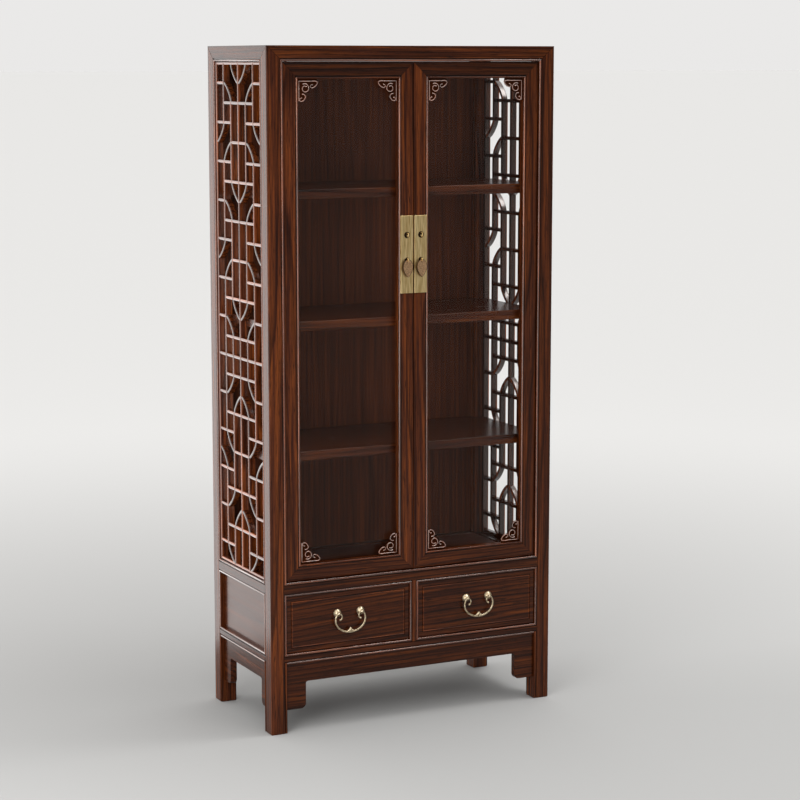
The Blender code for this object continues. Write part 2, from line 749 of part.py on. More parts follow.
def build_door(side, sign):
    """One glazed door: mitred frame with pivots and carved corners, pane and brass."""
    pivot = add_carrier(f"door_{side}_pivot", (*pivot_place(sign), 0))
    middle_x = sign * (MEETING_GAP + DOOR_WIDTH) / 2
    outward = Vector((sign, 0, 0))
    up = Vector((0, 0, 1))
    middle = Vector((middle_x, DOOR_BACK_Y, DOOR_MIDDLE_Z))
    half_width, half_height = DOOR_WIDTH / 2, DOOR_HEIGHT / 2
    build_door_bar(f"door_{side}_hinge_stile", DOOR_HEIGHT, middle + outward * half_width, -outward, pivot)
    build_door_bar(f"door_{side}_meeting_stile", DOOR_HEIGHT, middle - outward * half_width, outward, pivot)
    for label, way in (("top", 1), ("bottom", -1)):
        edge = middle + up * way * half_height
        rail = build_door_bar(f"door_{side}_{label}_rail", DOOR_WIDTH, edge, -up * way, pivot)
        pin = cylinder_mesh(f"{rail.name}_pin", PIVOT_RADIUS, PIVOT_LENGTH + PIVOT_ROOT)
        height = edge.z + way * (PIVOT_LENGTH - PIVOT_ROOT) / 2
        combine(rail, "UNION", add_cutter(pin.name, pin, (*pivot_place(sign), height)))
        carve_spandrels(rail, middle, way)
    build_glass(side, middle, pivot)
    build_door_brass(side, sign, pivot)


def build_glass(side, middle, pivot):
    """The pane, lying in the rebate against the front lip of the frame."""
    reach = REBATE_WIDTH - GLASS_PLAY - DOOR_BAR_WIDTH
    half_width, half_height = DOOR_WIDTH / 2 + reach, DOOR_HEIGHT / 2 + reach
    front = DOOR_BACK_Y - REBATE_DEPTH + FIT
    low = (middle.x - half_width, front, middle.z - half_height)
    high = (middle.x + half_width, front + GLASS_THICKNESS, middle.z + half_height)
    add_board(f"door_{side}_glass", low, high, GLASS, carrier=pivot)


def spandrel_discs():
    """Discs along one leg of a carved corner, then the corner's own, then the other leg."""
    edge = (SPANDREL_EDGE_DISC_ALONG, SPANDREL_EDGE_DISC_ACROSS, SPANDREL_EDGE_DISC_RADIUS)
    mid = (SPANDREL_MID_DISC_ALONG, SPANDREL_MID_DISC_ACROSS, SPANDREL_MID_DISC_RADIUS)
    corner = (SPANDREL_CORNER_DISC, SPANDREL_CORNER_DISC, SPANDREL_CORNER_DISC_RADIUS)
    flipped = [(across, along, radius) for along, across, radius in (mid, edge)]
    return [edge, mid, corner] + flipped


def circle_crossing(first, second):
    """The crossing of two circles that lies away from the corner at the origin."""
    a, b = Vector(first[:2]), Vector(second[:2])
    gap = (b - a).length
    along = (gap * gap + first[2] ** 2 - second[2] ** 2) / (2 * gap)
    aside = math.sqrt(first[2] ** 2 - along * along)
    step = (b - a).normalized()
    crossings = [a + step * along + step.orthogonal() * way * aside for way in (-1, 1)]
    return max(crossings, key=lambda point: point.length)


def disc_arc(disc, start, end):
    """Points round a disc from one point on its rim to another, anticlockwise."""
    centre = Vector(disc[:2])
    first = math.atan2(start.y - centre.y, start.x - centre.x)
    last = math.atan2(end.y - centre.y, end.x - centre.x)
    if last < first:
        last += math.tau
    steps = max(2, round((last - first) / SPANDREL_ARC_STEP))
    return arc_points(centre, (disc[2], disc[2]), first, last, steps)


def spandrel_loops():
    """Lobed outline of a carved corner with an eye cut through each lobe."""
    discs = spandrel_discs()
    foot = math.sqrt(discs[0][2] ** 2 - discs[0][1] ** 2)
    stops = [Vector((discs[0][0] + foot, 0))]
    stops += [circle_crossing(a, b) for a, b in zip(discs, discs[1:])]
    stops.append(Vector((0, discs[-1][1] + foot)))
    outline = [(0.0, 0.0)]
    for disc, start, end in zip(discs, stops, stops[1:]):
        arc = disc_arc(disc, start, end)
        outline += arc if disc is discs[-1] else arc[:-1]
    eyes = []
    for along, across, radius in discs:
        eye = radius * SPANDREL_EYE_SHARE
        eyes.append(arc_points((along, across), (eye, eye), 0, math.tau, LOBE_EYE_STEPS)[:-1])
    return [outline] + eyes


def carve_spandrels(rail, middle, way):
    """Join the carved corners to a door's top or bottom rail; they stand in front of the pane."""
    half_width = DOOR_WIDTH / 2 - DOOR_BAR_WIDTH - FIT
    half_height = DOOR_HEIGHT / 2 - DOOR_BAR_WIDTH + SPANDREL_ROOT
    y = DOOR_FRONT_Y + SPANDREL_SETBACK + SPANDREL_THICKNESS / 2
    for across in (-1, 1):
        loops = []
        for loop in spandrel_loops():
            loops.append([(across * (half_width - u), way * (half_height - v)) for u, v in loop])
        name = f"{rail.name}_corner_{across}"
        flat = add_cutter(name, outline_curve(name, loops, SPANDREL_THICKNESS), (0, 0, 0))
        place = (middle.x, y, middle.z)
        combine(rail, "UNION", add_cutter(name, finished_mesh(flat), place, FACING_FRONT))


# Brass on the doors
def eye_wire_points():
    """Middle line of a wire eye round the origin: a shank into the plate, then a ring seen from the side."""
    shank_root = EYE_STAND + EYE_ROOT
    radii = (EYE_RING_RADIUS, EYE_RING_RADIUS)
    ring = arc_points((0, 0), radii, math.pi / 2, math.pi / 2 + EYE_TURN, EYE_RING_STEPS)
    return [(0.0, y, z) for y, z in [(shank_root, EYE_RING_RADIUS)] + ring]


def pendant_outline():
    """Leaf-shaped drop below a small ring, measured from its pivot in the ring's top bar."""
    ring_centre = (PENDANT_RING_INNER - PENDANT_RING_OUTER) / 2 - PENDANT_RING_INNER
    ring_radii = (PENDANT_RING_OUTER, PENDANT_RING_OUTER)
    right = arc_points((0, ring_centre), ring_radii, math.pi / 2, -math.pi / 6, PENDANT_RING_STEPS)
    body_top = ring_centre - PENDANT_RING_OUTER
    shoulder = body_top - PENDANT_SHOULDER_DROP
    right += [
        (PENDANT_NECK_HALF, body_top),
        (PENDANT_SHOULDER_HALF, shoulder),
        (PENDANT_SHOULDER_HALF, shoulder - PENDANT_SHOULDER_RUN),
        (PENDANT_BELLY_HALF, body_top - PENDANT_BELLY_DROP),
        (PENDANT_NECK_HALF, body_top - PENDANT_WAIST_DROP),
        (0, -PENDANT_LENGTH),
    ]
    outline = right + [(-x, z) for x, z in right[-2:0:-1]]
    hole_radii = (PENDANT_RING_INNER, PENDANT_RING_INNER)
    hole = arc_points((0, ring_centre), hole_radii, 0, math.tau, PENDANT_HOLE_STEPS)[:-1]
    return [outline, hole]


def build_door_brass(side, sign, pivot):
    """Half plate with two wire eyes clenched into it, and a drop pendant, on the meeting stile."""
    near = sign * (MEETING_GAP / 2 + PLATE_EDGE)
    left, right = sorted((near, near + sign * PLATE_WIDTH))
    low = (left, PLATE_FRONT_Y, PLATE_BOTTOM)
    high = (right, PLATE_FRONT_Y + PLATE_THICKNESS, PLATE_BOTTOM + PLATE_HEIGHT)
    plate = add_board(f"door_{side}_plate", low, high, BRASS, PLATE_ROUND, pivot)
    x = (left + right) / 2
    for label, rise in (("upper", UPPER_EYE_RISE), ("lower", LOWER_EYE_RISE)):
        name = f"{plate.name}_{label}_eye"
        wire = add_cutter(name, wire_curve(name, eye_wire_points(), EYE_WIRE_RADIUS), (0, 0, 0))
        place = (x, EYE_CENTRE_Y, PLATE_BOTTOM + rise)
        combine(plate, "UNION", add_cutter(name, finished_mesh(wire), place))
    hang = Vector((x, EYE_CENTRE_Y, PLATE_BOTTOM + LOWER_EYE_RISE - PENDANT_SAG))
    drop = add_carrier(f"pendant_{side}_pivot", hang, pivot)
    add_outline(f"pendant_{side}", pendant_outline(), PENDANT_THICKNESS, BRASS, hang, FACING_FRONT, drop)


# Drawers
def build_runners():
    """Runners under the drawers' sides; the middle one carries the guide that keeps the drawers apart."""
    reach, edge = INNER_Y - FIT, INNER_X - FIT
    bottom, top = LOWER_RAIL_TOP - RUNNER_HEIGHT, LOWER_RAIL_TOP
    for side, sign in SIDES.items():
        near, far = sorted((sign * edge, sign * (edge - RUNNER_WIDTH)))
        add_board(f"drawer_runner_{side}", (near, -reach, bottom), (far, reach, top), INNER_ELM)
    half_guide = DIVIDER_WIDTH / 2
    right = [(RUNNER_WIDTH, bottom), (RUNNER_WIDTH, top), (half_guide, top), (half_guide, top + GUIDE_HEIGHT)]
    section = right + [(-x, z) for x, z in reversed(right)]
    add_outline("drawer_runner_middle", [section], 2 * reach, INNER_ELM, (0, 0, 0), FACING_FRONT)


def build_drawer(side, sign):
    """One drawer: fielded front, box boards, and a bail on two capped eyebolts."""
    near, far = sorted((sign * (DIVIDER_WIDTH / 2 + DRAWER_GAP), sign * (INNER_X - DRAWER_GAP)))
    slide = add_carrier(f"drawer_{side}_slide", ((near + far) / 2, DRAWER_FRONT_Y, LOWER_RAIL_TOP))
    build_drawer_front(side, near, far, slide)
    build_drawer_box(side, near, far, slide)
    build_pull(side, (near + far) / 2, slide)


def build_drawer_front(side, near, far, slide):
    """A drawer front whose field stands a little proud inside a flat margin."""
    bottom, top = LOWER_RAIL_TOP + DRAWER_GAP, MID_RAIL_BOTTOM - DRAWER_GAP
    low = Vector((near, DRAWER_FRONT_Y, bottom))
    high = Vector((far, DRAWER_FRONT_Y + DRAWER_FRONT_THICKNESS, top))
    middle = (low + high) / 2
    bm = bmesh.new()
    bmesh.ops.create_cube(bm, size=1.0)
    bmesh.ops.scale(bm, vec=high - low, verts=bm.verts)
    face = min(bm.faces, key=lambda item: item.calc_center_median().y)
    bmesh.ops.inset_individual(bm, faces=[face], thickness=FIELD_MARGIN)
    bmesh.ops.inset_individual(bm, faces=[face], thickness=FIELD_SLOPE, depth=FIELD_RISE)
    name = f"drawer_{side}_front"
    add_part(name, mesh_from(bm, name), ELM, middle, carrier=slide)


def build_drawer_box(side, near, far, slide):
    """Sides and back of a drawer, dovetailed into one, and the bottom board between them."""
    front = DRAWER_FRONT_Y + DRAWER_FRONT_THICKNESS + FIT
    back = INNER_Y - DRAWER_BACK_CLEARANCE
    bottom = LOWER_RAIL_TOP + FIT
    inner_near, inner_far, inner_back = near + DRAWER_BOARD, far - DRAWER_BOARD, back - DRAWER_BOARD
    walls = [(near, front), (inner_near, front), (inner_near, inner_back), (inner_far, inner_back)]
    walls += [(inner_far, front), (far, front), (far, back), (near, back)]
    place = (0, 0, bottom + DRAWER_SIDE_HEIGHT / 2)
    add_outline(f"drawer_{side}_box", [walls], DRAWER_SIDE_HEIGHT, INNER_ELM, place, FACING_UP, slide)
    floor = bottom + DRAWER_BOTTOM_RISE
    low = (inner_near + FIT, front, floor)
    high = (inner_far - FIT, inner_back - FIT, floor + DRAWER_BOTTOM_BOARD)
    add_board(f"drawer_{side}_bottom", low, high, INNER_ELM, carrier=slide)


def cap_profile_mesh():
    """Half outline of a domed cap, from its crown down to the middle of its flat back."""
    dome = arc_points((0, 0), (CAP_RADIUS, CAP_HEIGHT), math.pi / 2, 0, DOME_STEPS)
    points = [(x, 0.0, z) for x, z in dome] + [(0.0, 0.0, 0.0)]
    points[0] = (0.0, 0.0, CAP_HEIGHT)
    mesh = bpy.data.meshes.new("cap_profile")
    mesh.from_pydata(points, [(i, i + 1) for i in range(len(points) - 1)], [])
    return mesh


def build_cap(name, seat, slide):
    """A domed cap with an eyebolt through it, its hole running across the drawer."""
    cap = add_part(name, cap_profile_mesh(), BRASS, seat, FACING_FRONT, slide)
    screw = cap.modifiers.new("turn", "SCREW")
    screw.steps = ROUND_SEGMENTS
    screw.render_steps = ROUND_SEGMENTS
    screw.use_merge_vertices = True
    screw.merge_threshold = WELD
    across = (0, math.pi / 2, 0)
    eye = (seat[0], BAIL_AXIS_Y, seat[2])
    bolt = cylinder_mesh(f"{name}_bolt", EYEBOLT_RADIUS, EYEBOLT_THICKNESS)
    combine(cap, "UNION", add_cutter(bolt.name, bolt, eye, across))
    hole = cylinder_mesh(f"{name}_hole", BAIL_RADIUS + BAIL_PLAY, 2 * EYEBOLT_THICKNESS)
    combine(cap, "DIFFERENCE", add_cutter(hole.name, hole, eye, across))


def bail_half():
    """Right half of the bail's middle line from its lowest point to its curl, measured from the eyebolt."""
    drop_radii = (PULL_SPACING / 2 + BAIL_OVERHANG, BAIL_DROP - BAIL_SHOULDER_DROP)
    lower = arc_points((-PULL_SPACING / 2, -BAIL_SHOULDER_DROP), drop_radii, -math.pi / 2, 0, BAIL_ARC_STEPS)
    shoulder_radii = (BAIL_OVERHANG, BAIL_SHOULDER_DROP)
    shoulder = arc_points((0, -BAIL_SHOULDER_DROP), shoulder_radii, 0, math.pi / 2, BAIL_ARC_STEPS)
    curl = arc_points((0, -CURL_REACH), (CURL_REACH, CURL_REACH), math.pi / 2, math.pi, CURL_STEPS)
    hook_centre = (CURL_HOOK - CURL_REACH, -CURL_REACH)
    hook = arc_points(hook_centre, (CURL_HOOK, CURL_HOOK_DROP), math.pi, math.pi * 1.5, HOOK_STEPS)
    return lower + shoulder[1:] + curl[1:] + hook[1:]


def build_pull(side, middle_x, slide):
    """Two caps on the drawer's field and the bail that lifts in them, with a bud at its foot."""
    half = PULL_SPACING / 2
    for label, way in SIDES.items():
        seat = (middle_x + way * half, FIELD_Y - FIT, BAIL_AXIS_Z)
        build_cap(f"drawer_{side}_cap_{label}", seat, slide)
    axis = Vector((middle_x, BAIL_AXIS_Y, BAIL_AXIS_Z))
    lift = add_carrier(f"bail_{side}_pivot", axis, slide)
    name = f"bail_{side}"
    right = [(half + x, 0.0, z) for x, z in bail_half()]
    line = [(-x, y, z) for x, y, z in right[:0:-1]] + right
    wire = add_cutter(f"{name}_wire", wire_curve(name, line, BAIL_RADIUS), (0, 0, 0))
    bail = add_part(name, finished_mesh(wire), BRASS, axis, carrier=lift)
    bud = bmesh.new()
    bmesh.ops.create_uvsphere(bud, u_segments=BUD_SEGMENTS, v_segments=BUD_RINGS, radius=1.0)
    bmesh.ops.scale(bud, vec=(BUD_HALF_WIDTH, BUD_HALF_DEPTH, BUD_HALF_HEIGHT), verts=bud.verts)
    place = axis + Vector((0, 0, BUD_RISE - BAIL_DROP))
    combine(bail, "UNION", add_cutter(f"{name}_bud", mesh_from(bud, f"{name}_bud", is_round=True), place))


def main():
    """Build the whole cabinet."""
    build_frame()
    build_boards()
    build_shelves()
    build_aprons()
    build_lattices()
    for side, sign in SIDES.items():
        build_door(side, sign)
    build_runners()
    for side, sign in SIDES.items():
        build_drawer(side, sign)


clear_scene()
CABINET = make_collection("display_cabinet")
CUTTERS = make_collection("cutters")
main()
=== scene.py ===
"""Looks of a glazed elm display cabinet, built around its solid model."""

import json
import math

import bmesh
import bpy
from bpy.props import FloatProperty, FloatVectorProperty, PointerProperty
from mathutils import Matrix, Vector

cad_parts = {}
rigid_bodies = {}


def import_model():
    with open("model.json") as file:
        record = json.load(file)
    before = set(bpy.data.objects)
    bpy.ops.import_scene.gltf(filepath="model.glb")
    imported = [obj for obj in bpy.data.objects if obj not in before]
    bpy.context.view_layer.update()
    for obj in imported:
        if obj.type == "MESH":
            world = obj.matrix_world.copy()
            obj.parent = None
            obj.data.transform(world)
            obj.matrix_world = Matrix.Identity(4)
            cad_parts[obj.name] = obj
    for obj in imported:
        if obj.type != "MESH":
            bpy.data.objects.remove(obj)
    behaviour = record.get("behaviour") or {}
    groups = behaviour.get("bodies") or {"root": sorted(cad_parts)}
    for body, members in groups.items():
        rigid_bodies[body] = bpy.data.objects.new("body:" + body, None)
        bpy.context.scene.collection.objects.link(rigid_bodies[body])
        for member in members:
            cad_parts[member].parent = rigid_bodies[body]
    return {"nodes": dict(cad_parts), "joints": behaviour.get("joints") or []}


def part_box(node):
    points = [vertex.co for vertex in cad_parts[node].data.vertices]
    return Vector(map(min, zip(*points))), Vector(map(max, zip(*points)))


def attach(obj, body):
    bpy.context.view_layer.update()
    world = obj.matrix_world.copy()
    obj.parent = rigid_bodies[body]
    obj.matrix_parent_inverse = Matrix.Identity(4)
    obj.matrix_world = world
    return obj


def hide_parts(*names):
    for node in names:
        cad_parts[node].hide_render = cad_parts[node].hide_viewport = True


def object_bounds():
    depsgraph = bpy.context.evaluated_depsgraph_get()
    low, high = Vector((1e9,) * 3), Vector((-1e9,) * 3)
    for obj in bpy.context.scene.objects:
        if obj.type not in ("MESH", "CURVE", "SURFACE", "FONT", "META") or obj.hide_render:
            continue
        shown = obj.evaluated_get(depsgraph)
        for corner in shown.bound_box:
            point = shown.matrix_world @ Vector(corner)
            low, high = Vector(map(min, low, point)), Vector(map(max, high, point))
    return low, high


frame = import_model()
CAD_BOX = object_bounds()

bl_info = {
    "name": "Glazed Display Cabinet",
    "version": (1, 0, 0),
    "blender": (4, 5, 0),
    "location": "3D View > Sidebar > Cabinet",
    "description": "Builds the visible pieces of a glazed display cabinet around its solid model",
    "category": "Object",
}

# Attributes of a board's corners: their place in the log, and the board's tone
GRAIN = "grain"
TONE = "tone"
# Boards laid level look darker than upright ones, because their fibres turn the window light away
LEVEL_TONE = 0.66
# Painted shade: the sunk ground of the grooves is darkened
QUIRK_SHADE_TONE = 0.16
# Painted highlight: the beads are painted paler, round the openings and on the drawer fronts
BEAD_HIGHLIGHT_TONE = 1.8
DRAWER_BEAD_HIGHLIGHT_TONE = 2.2
# Painted light on the lattices: paler outer faces and lit front faces, darker faces toward the inside
FRET_HIGHLIGHT_TONE = 2.0
FRET_LIT_EDGE_TONE = 1.5
FRET_SHADE_TONE = 0.42
# Painted highlight on the carved strands, and painted shade on the sunk ground behind them
CARVING_HIGHLIGHT_TONE = 2.0
CARVING_GROUND_SHADE_TONE = 0.25
# Boards painted darker than their neighbours, as painted shade where less light falls on them
SHADED_BOARD_TONES = {
    "post_front_left": 0.95,
    "post_front_right": 0.84,
    "door_left_hinge_stile": 0.95,
    "door_right_hinge_stile": 0.72,
    "door_left_top_rail": 0.55,
    "door_right_top_rail": 0.55,
    "mid_rail_front": 0.8,
}
# First number of each group of boards; a board's number says where in the log it was cut
CUTS = {
    "posts": 3,
    "pivots": 7,
    "top rails": 21,
    "rails": 25,
    "divider": 41,
    "front beads": 50,
    "strips": 57,
    "lattice beads": 60,
    "panel beads": 66,
    "shelves": 80,
    "aprons": 90,
    "lattices": 100,
    "doors": 210,
    "carvings": 240,
    "plates": 300,
    "drawers": 310,
}
# A board's log: its length, how far a board may lie to the pith's side, and how far out from it
LOG_LENGTH = 4.0
LOG_ASIDE = 0.09
PITH_NEAR = 0.045
PITH_SPAN = 0.06
SIDES = {"left": -1, "right": 1}
ENDS = {"front": -1, "back": 1}
AXES = {"x": 0, "y": 1, "z": 2}
SMOOTH_ANGLE = math.radians(38)
MM = 0.001

# Turns a piece drawn flat with its face up so that it faces one side of the cabinet
FACING = {
    "front": Matrix(((1, 0, 0, 0), (0, 0, -1, 0), (0, 1, 0, 0), (0, 0, 0, 1))),
    "right": Matrix(((0, 0, 1, 0), (1, 0, 0, 0), (0, 1, 0, 0), (0, 0, 0, 1))),
    "left": Matrix(((0, 0, -1, 0), (-1, 0, 0, 0), (0, 1, 0, 0), (0, 0, 0, 1))),
}

# The solid model's own planes
POST_LOW, POST_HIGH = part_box("post_front_right")
HALF_WIDTH = POST_HIGH.x
HALF_DEPTH = -POST_LOW.y
INNER_X = POST_LOW.x
INNER_Y = -POST_HIGH.y
HEIGHT = CAD_BOX[1][2]
TOP_RAIL_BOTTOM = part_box("top_rail_front")[0].z
MID_RAIL_BOTTOM, MID_RAIL_TOP = (corner.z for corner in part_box("mid_rail_front"))
LOWER_RAIL_BOTTOM, LOWER_RAIL_TOP = (corner.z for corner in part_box("lower_rail_front"))
LATTICE_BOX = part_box("lattice_right")
# Gap left where two boards meet in a mitre
MITRE_GAP = 0.0002


def linear(code):
    """A colour from its sRGB hex code, in linear light."""
    parts = [int(code[start : start + 2], 16) / 255 for start in (1, 3, 5)]
    return tuple(part / 12.92 if part <= 0.04045 else ((part + 0.055) / 1.055) ** 2.4 for part in parts)


def length(name, description, default):
    """A size in metres that a user may change."""
    return FloatProperty(name=name, description=description, default=default, unit="LENGTH", precision=5)


def colour(name, description, code):
    """A colour that a user may change."""
    return FloatVectorProperty(name=name, description=description, default=linear(code), subtype="COLOR")


def power(name, description, watts):
    """A light's power that a user may change."""
    return FloatProperty(name=name, description=description, default=watts, unit="POWER")


def strength(name, description, default):
    """A strength of the room's light that a user may change."""
    return FloatProperty(name=name, description=description, default=default)


def angle(name, description, degrees):
    """An angle that a user may change."""
    return FloatProperty(name=name, description=description, default=math.radians(degrees), subtype="ANGLE")


class CabinetSizes(bpy.types.PropertyGroup):
    """Sizes of what is added to the solid model."""

    post_round: length("Post rounding", "Radius of the posts' outer corners", 0.003)
    rail_round: length("Rail rounding", "Radius of the rails' long edges", 0.0016)
    edge_round: length("Edge rounding", "Radius of the small edges beside the quirks", 0.0006)
    bead_width: length("Bead width", "Width of the bead round each opening", 0.005)
    bead_rise: length("Bead rise", "How far the bead stands proud of posts and rails", 0.001)
    bead_round: length("Bead rounding", "Radius of the bead's edges", 0.0024)
    quirk_width: length("Quirk width", "Width of the groove beside the bead", 0.0028)
    quirk_depth: length("Quirk depth", "Depth of the groove beside the bead", 0.002)
    lattice_bar: length("Lattice bar", "Width of a lattice bar", 0.0092)
    lattice_round: length("Lattice rounding", "Radius of the lattice bars' outer edges", 0.0038)
    lattice_reach: length("Lattice reach", "How far the bars reach in past the solid model's", 0.0018)
    lattice_step: length("Lattice step", "How far the level bars lie behind the upright ones", 0.0005)
    carving_wire: length("Carving strand", "Radius of a strand of the carved corners", 0.0015)
    bail_radius: length("Bail radius", "Radius of the drawer pulls' bail", 0.0024)
    ring_spacing: length("Growth rings", "Distance between the elm's growth rings", 0.013)


class CabinetColours(bpy.types.PropertyGroup):
    """Colours of the finishes."""

    dark_wood: colour("Dark wood", "Darkest streaks of the stained elm", "#34150a")
    middle_wood: colour("Middle wood", "Main tone of the stained elm", "#522610")
    warm_wood: colour("Warm wood", "Lighter, redder streaks of the stained elm", "#6e3613")
    pore: colour("Pores", "Stain held in the open pores", "#1e0c06")
    brass: colour("Brass", "Rubbed brass of the plates", "#f0d8a2")
    brass_shade: colour("Brass shade", "Aged brass", "#ae8f58")
    casting: colour("Casting", "Rubbed brass of the pulls", "#e4d4b6")
    casting_shade: colour("Casting shade", "Aged brass of the pulls", "#846f50")
    bronze: colour("Bronze", "Rubbed bronze of the pendants", "#dcb48c")
    bronze_shade: colour("Bronze shade", "Aged bronze", "#8a6a4a")
    # The iron colours also paint the shadow of the pendants' rims
    iron: colour("Iron", "Dark metal of the washers and the pendants' rims", "#3a2c20")
    iron_shade: colour("Iron shade", "Darkest spots of the washers and rims", "#17100b")
    pane: colour("Pane", "Reflection of the glass", "#f2f6f7")
    floor: colour("Floor", "Pale floor round the cabinet", "#a6a6a5")
    far_floor: colour("Far floor", "Paler floor away from the cabinet", "#d8d8d7")


class StageSettings(bpy.types.PropertyGroup):
    """Camera, lights and floor."""

    camera_place: FloatVectorProperty(
        name="Camera place",
        description="Where the camera stands",
        default=(-2.6672, -5.4773, 1.7581),
        subtype="TRANSLATION",
        unit="LENGTH",
    )
    camera_turn: angle("Camera turn", "How far the camera looks round to the right of straight on", 26.441)
    camera_tilt: angle("Camera tilt", "How far the camera looks down", 8.56)
    camera_lens: FloatProperty(
        name="Camera lens",
        description="Focal length on a 36 mm sensor",
        default=101.05,
        subtype="DISTANCE_CAMERA",
    )
    key_power: power("Key light", "Power of the window light", 52.0)
    fill_power: power("Fill light", "Power of the front fill", 20.0)
    lamp_power: power("Lamp", "Power of the lamp up on the right", 28.0)
    side_power: power("Side light", "Power of the sheen on the left side", 10.0)
    room_top: strength("Top light", "Strength of the light from above", 1.1)
    room_round: strength("Light all round", "Strength of the light from all round", 0.5)
    room_front: strength("Dark corner", "Strength of the light from the room's dark corner", 0.04)
    dark_way: FloatVectorProperty(
        name="Dark corner's way",
        description="Where the room's dark corner lies, which the flat fronts mirror",
        default=(0.44, -0.88, -0.15),
        subtype="XYZ",
    )
    horizon: strength("Horizon", "How pale the backdrop looks at the floor", 0.82)
    backdrop: strength("Backdrop", "How pale the backdrop looks higher up", 0.83)


def sizes():
    """The sizes set in the panel."""
    return bpy.context.scene.cabinet_sizes


def colours():
    """The colours set in the panel."""
    return bpy.context.scene.cabinet_colours


def stage():
    """The stage settings of the panel."""
    return bpy.context.scene.cabinet_stage


# Materials

# Shares of red, green and blue that the lacquer's shine and the room's light keep
SHINE_TINT = (1.0, 0.86, 0.79, 1.0)
ROOM_TINT = (1.0, 0.99, 0.98, 1.0)


def add_node(material, kind, inputs=None, **settings):
    """Add a node with its settings; an input is a plain value or another node's output."""
    tree = material.node_tree
    node = tree.nodes.new(kind)
    for key, value in settings.items():
        setattr(node, key, value)
    for key, value in (inputs or {}).items():
        if isinstance(value, bpy.types.NodeSocket):
            tree.links.new(value, node.inputs[key])
        else:
            node.inputs[key].default_value = value
    return node


def set_stops(ramp, stops):
    """Give a colour ramp its stops, as places and colours."""
    elements = ramp.color_ramp.elements
    while len(elements) < len(stops):
        elements.new(1.0)
    for element, (place, shade) in zip(elements, stops):
        element.position = place
        element.color = (*shade, 1.0)
    return ramp.outputs["Color"]


def new_material(name):
    """An empty node material."""
    material = bpy.data.materials.new(name)
    material.use_nodes = True
    material.node_tree.nodes.clear()
    return material


def close_material(material, **inputs):
    """Add the shader and the output."""
    named = {key.replace("_", " "): value for key, value in inputs.items()}
    shader = add_node(material, "ShaderNodeBsdfPrincipled", named)
    add_node(material, "ShaderNodeOutputMaterial", {"Surface": shader.outputs["BSDF"]})
    return material


def grain_spots(material, log, lengthwise, across, detail, roughness=0.6):
    """Cloudy spots of a given length along the grain and width across it, in mm."""
    scale = tuple(1 / (size * MM) for size in (lengthwise, across, across))
    spots = add_node(material, "ShaderNodeVectorMath", {0: log, 1: scale}, operation="MULTIPLY")
    inputs = {"Vector": spots.outputs[0], "Scale": 1.0, "Detail": detail, "Roughness": roughness}
    return add_node(material, "ShaderNodeTexNoise", inputs).outputs["Fac"]


def log_place(material, along):
    """Where a point lies in its log: from the board's own attribute, or from object coordinates."""
    if along is None:
        return add_node(material, "ShaderNodeAttribute", attribute_name=GRAIN).outputs["Vector"]
    turn = {"x": (0, 0, 0), "y": (0, 0, -math.pi / 2), "z": (0, math.pi / 2, 0)}[along]
    place = add_node(material, "ShaderNodeTexCoord").outputs["Object"]
    inputs = {"Vector": place, "Location": (0.31, 0.02, 0.09), "Rotation": turn}
    return add_node(material, "ShaderNodeMapping", inputs).outputs["Vector"]


def elm_streaks(material, log, calm):
    """Streaks of dark and warm wood, a little under a centimetre wide."""
    streak = grain_spots(material, log, 450, 9, 3.0)
    spread = 0.32 if calm else 0.18
    tones = colours()
    stops = [(0.5 - spread, tones.dark_wood), (0.5, tones.middle_wood), (0.5 + spread, tones.warm_wood)]
    return set_stops(add_node(material, "ShaderNodeValToRGB", {"Fac": streak}), stops)


def growth_rings(material, log):
    """Dark lines of the growth rings, round a pith that lies beside the board."""
    wander = grain_spots(material, log, 700, 80, 2.0)
    flat = add_node(material, "ShaderNodeVectorMath", {0: log, 1: (0, 1, 1)}, operation="MULTIPLY")
    radius = add_node(material, "ShaderNodeVectorMath", {0: flat.outputs[0]}, operation="LENGTH")
    spacing = {0: radius.outputs["Value"], 1: sizes().ring_spacing}
    count = add_node(material, "ShaderNodeMath", spacing, operation="DIVIDE")
    bent = {0: wander, 1: 2.2, 2: count.outputs[0]}
    count = add_node(material, "ShaderNodeMath", bent, operation="MULTIPLY_ADD")
    phase = add_node(material, "ShaderNodeMath", {0: count.outputs[0]}, operation="FRACT")
    ramp = add_node(material, "ShaderNodeValToRGB", {"Fac": phase.outputs[0]})
    early, middle, late = (1.0, 1.0, 1.0), (0.92, 0.92, 0.92), (0.27, 0.24, 0.22)
    return set_stops(ramp, [(0.0, early), (0.6, middle), (0.86, late), (0.92, late), (1.0, early)])


def open_pores(material, log, calm):
    """How much dark stain shows in the pores."""
    pores = grain_spots(material, log, 45, 2.2, 2.0)
    most = 0.45 if calm else 0.85
    span = {"Value": pores, "From Min": 0.56, "From Max": 0.68, "To Min": 0.0, "To Max": most}
    return add_node(material, "ShaderNodeMapRange", span).outputs["Result"]


def board_tone(material, along):
    """How light the board is: from its own attribute, or from the way that its grain runs."""
    if along is None:
        return add_node(material, "ShaderNodeAttribute", attribute_name=TONE).outputs["Fac"]
    tone = 1.0 if along == "z" else LEVEL_TONE
    return (tone, tone, tone, 1.0)


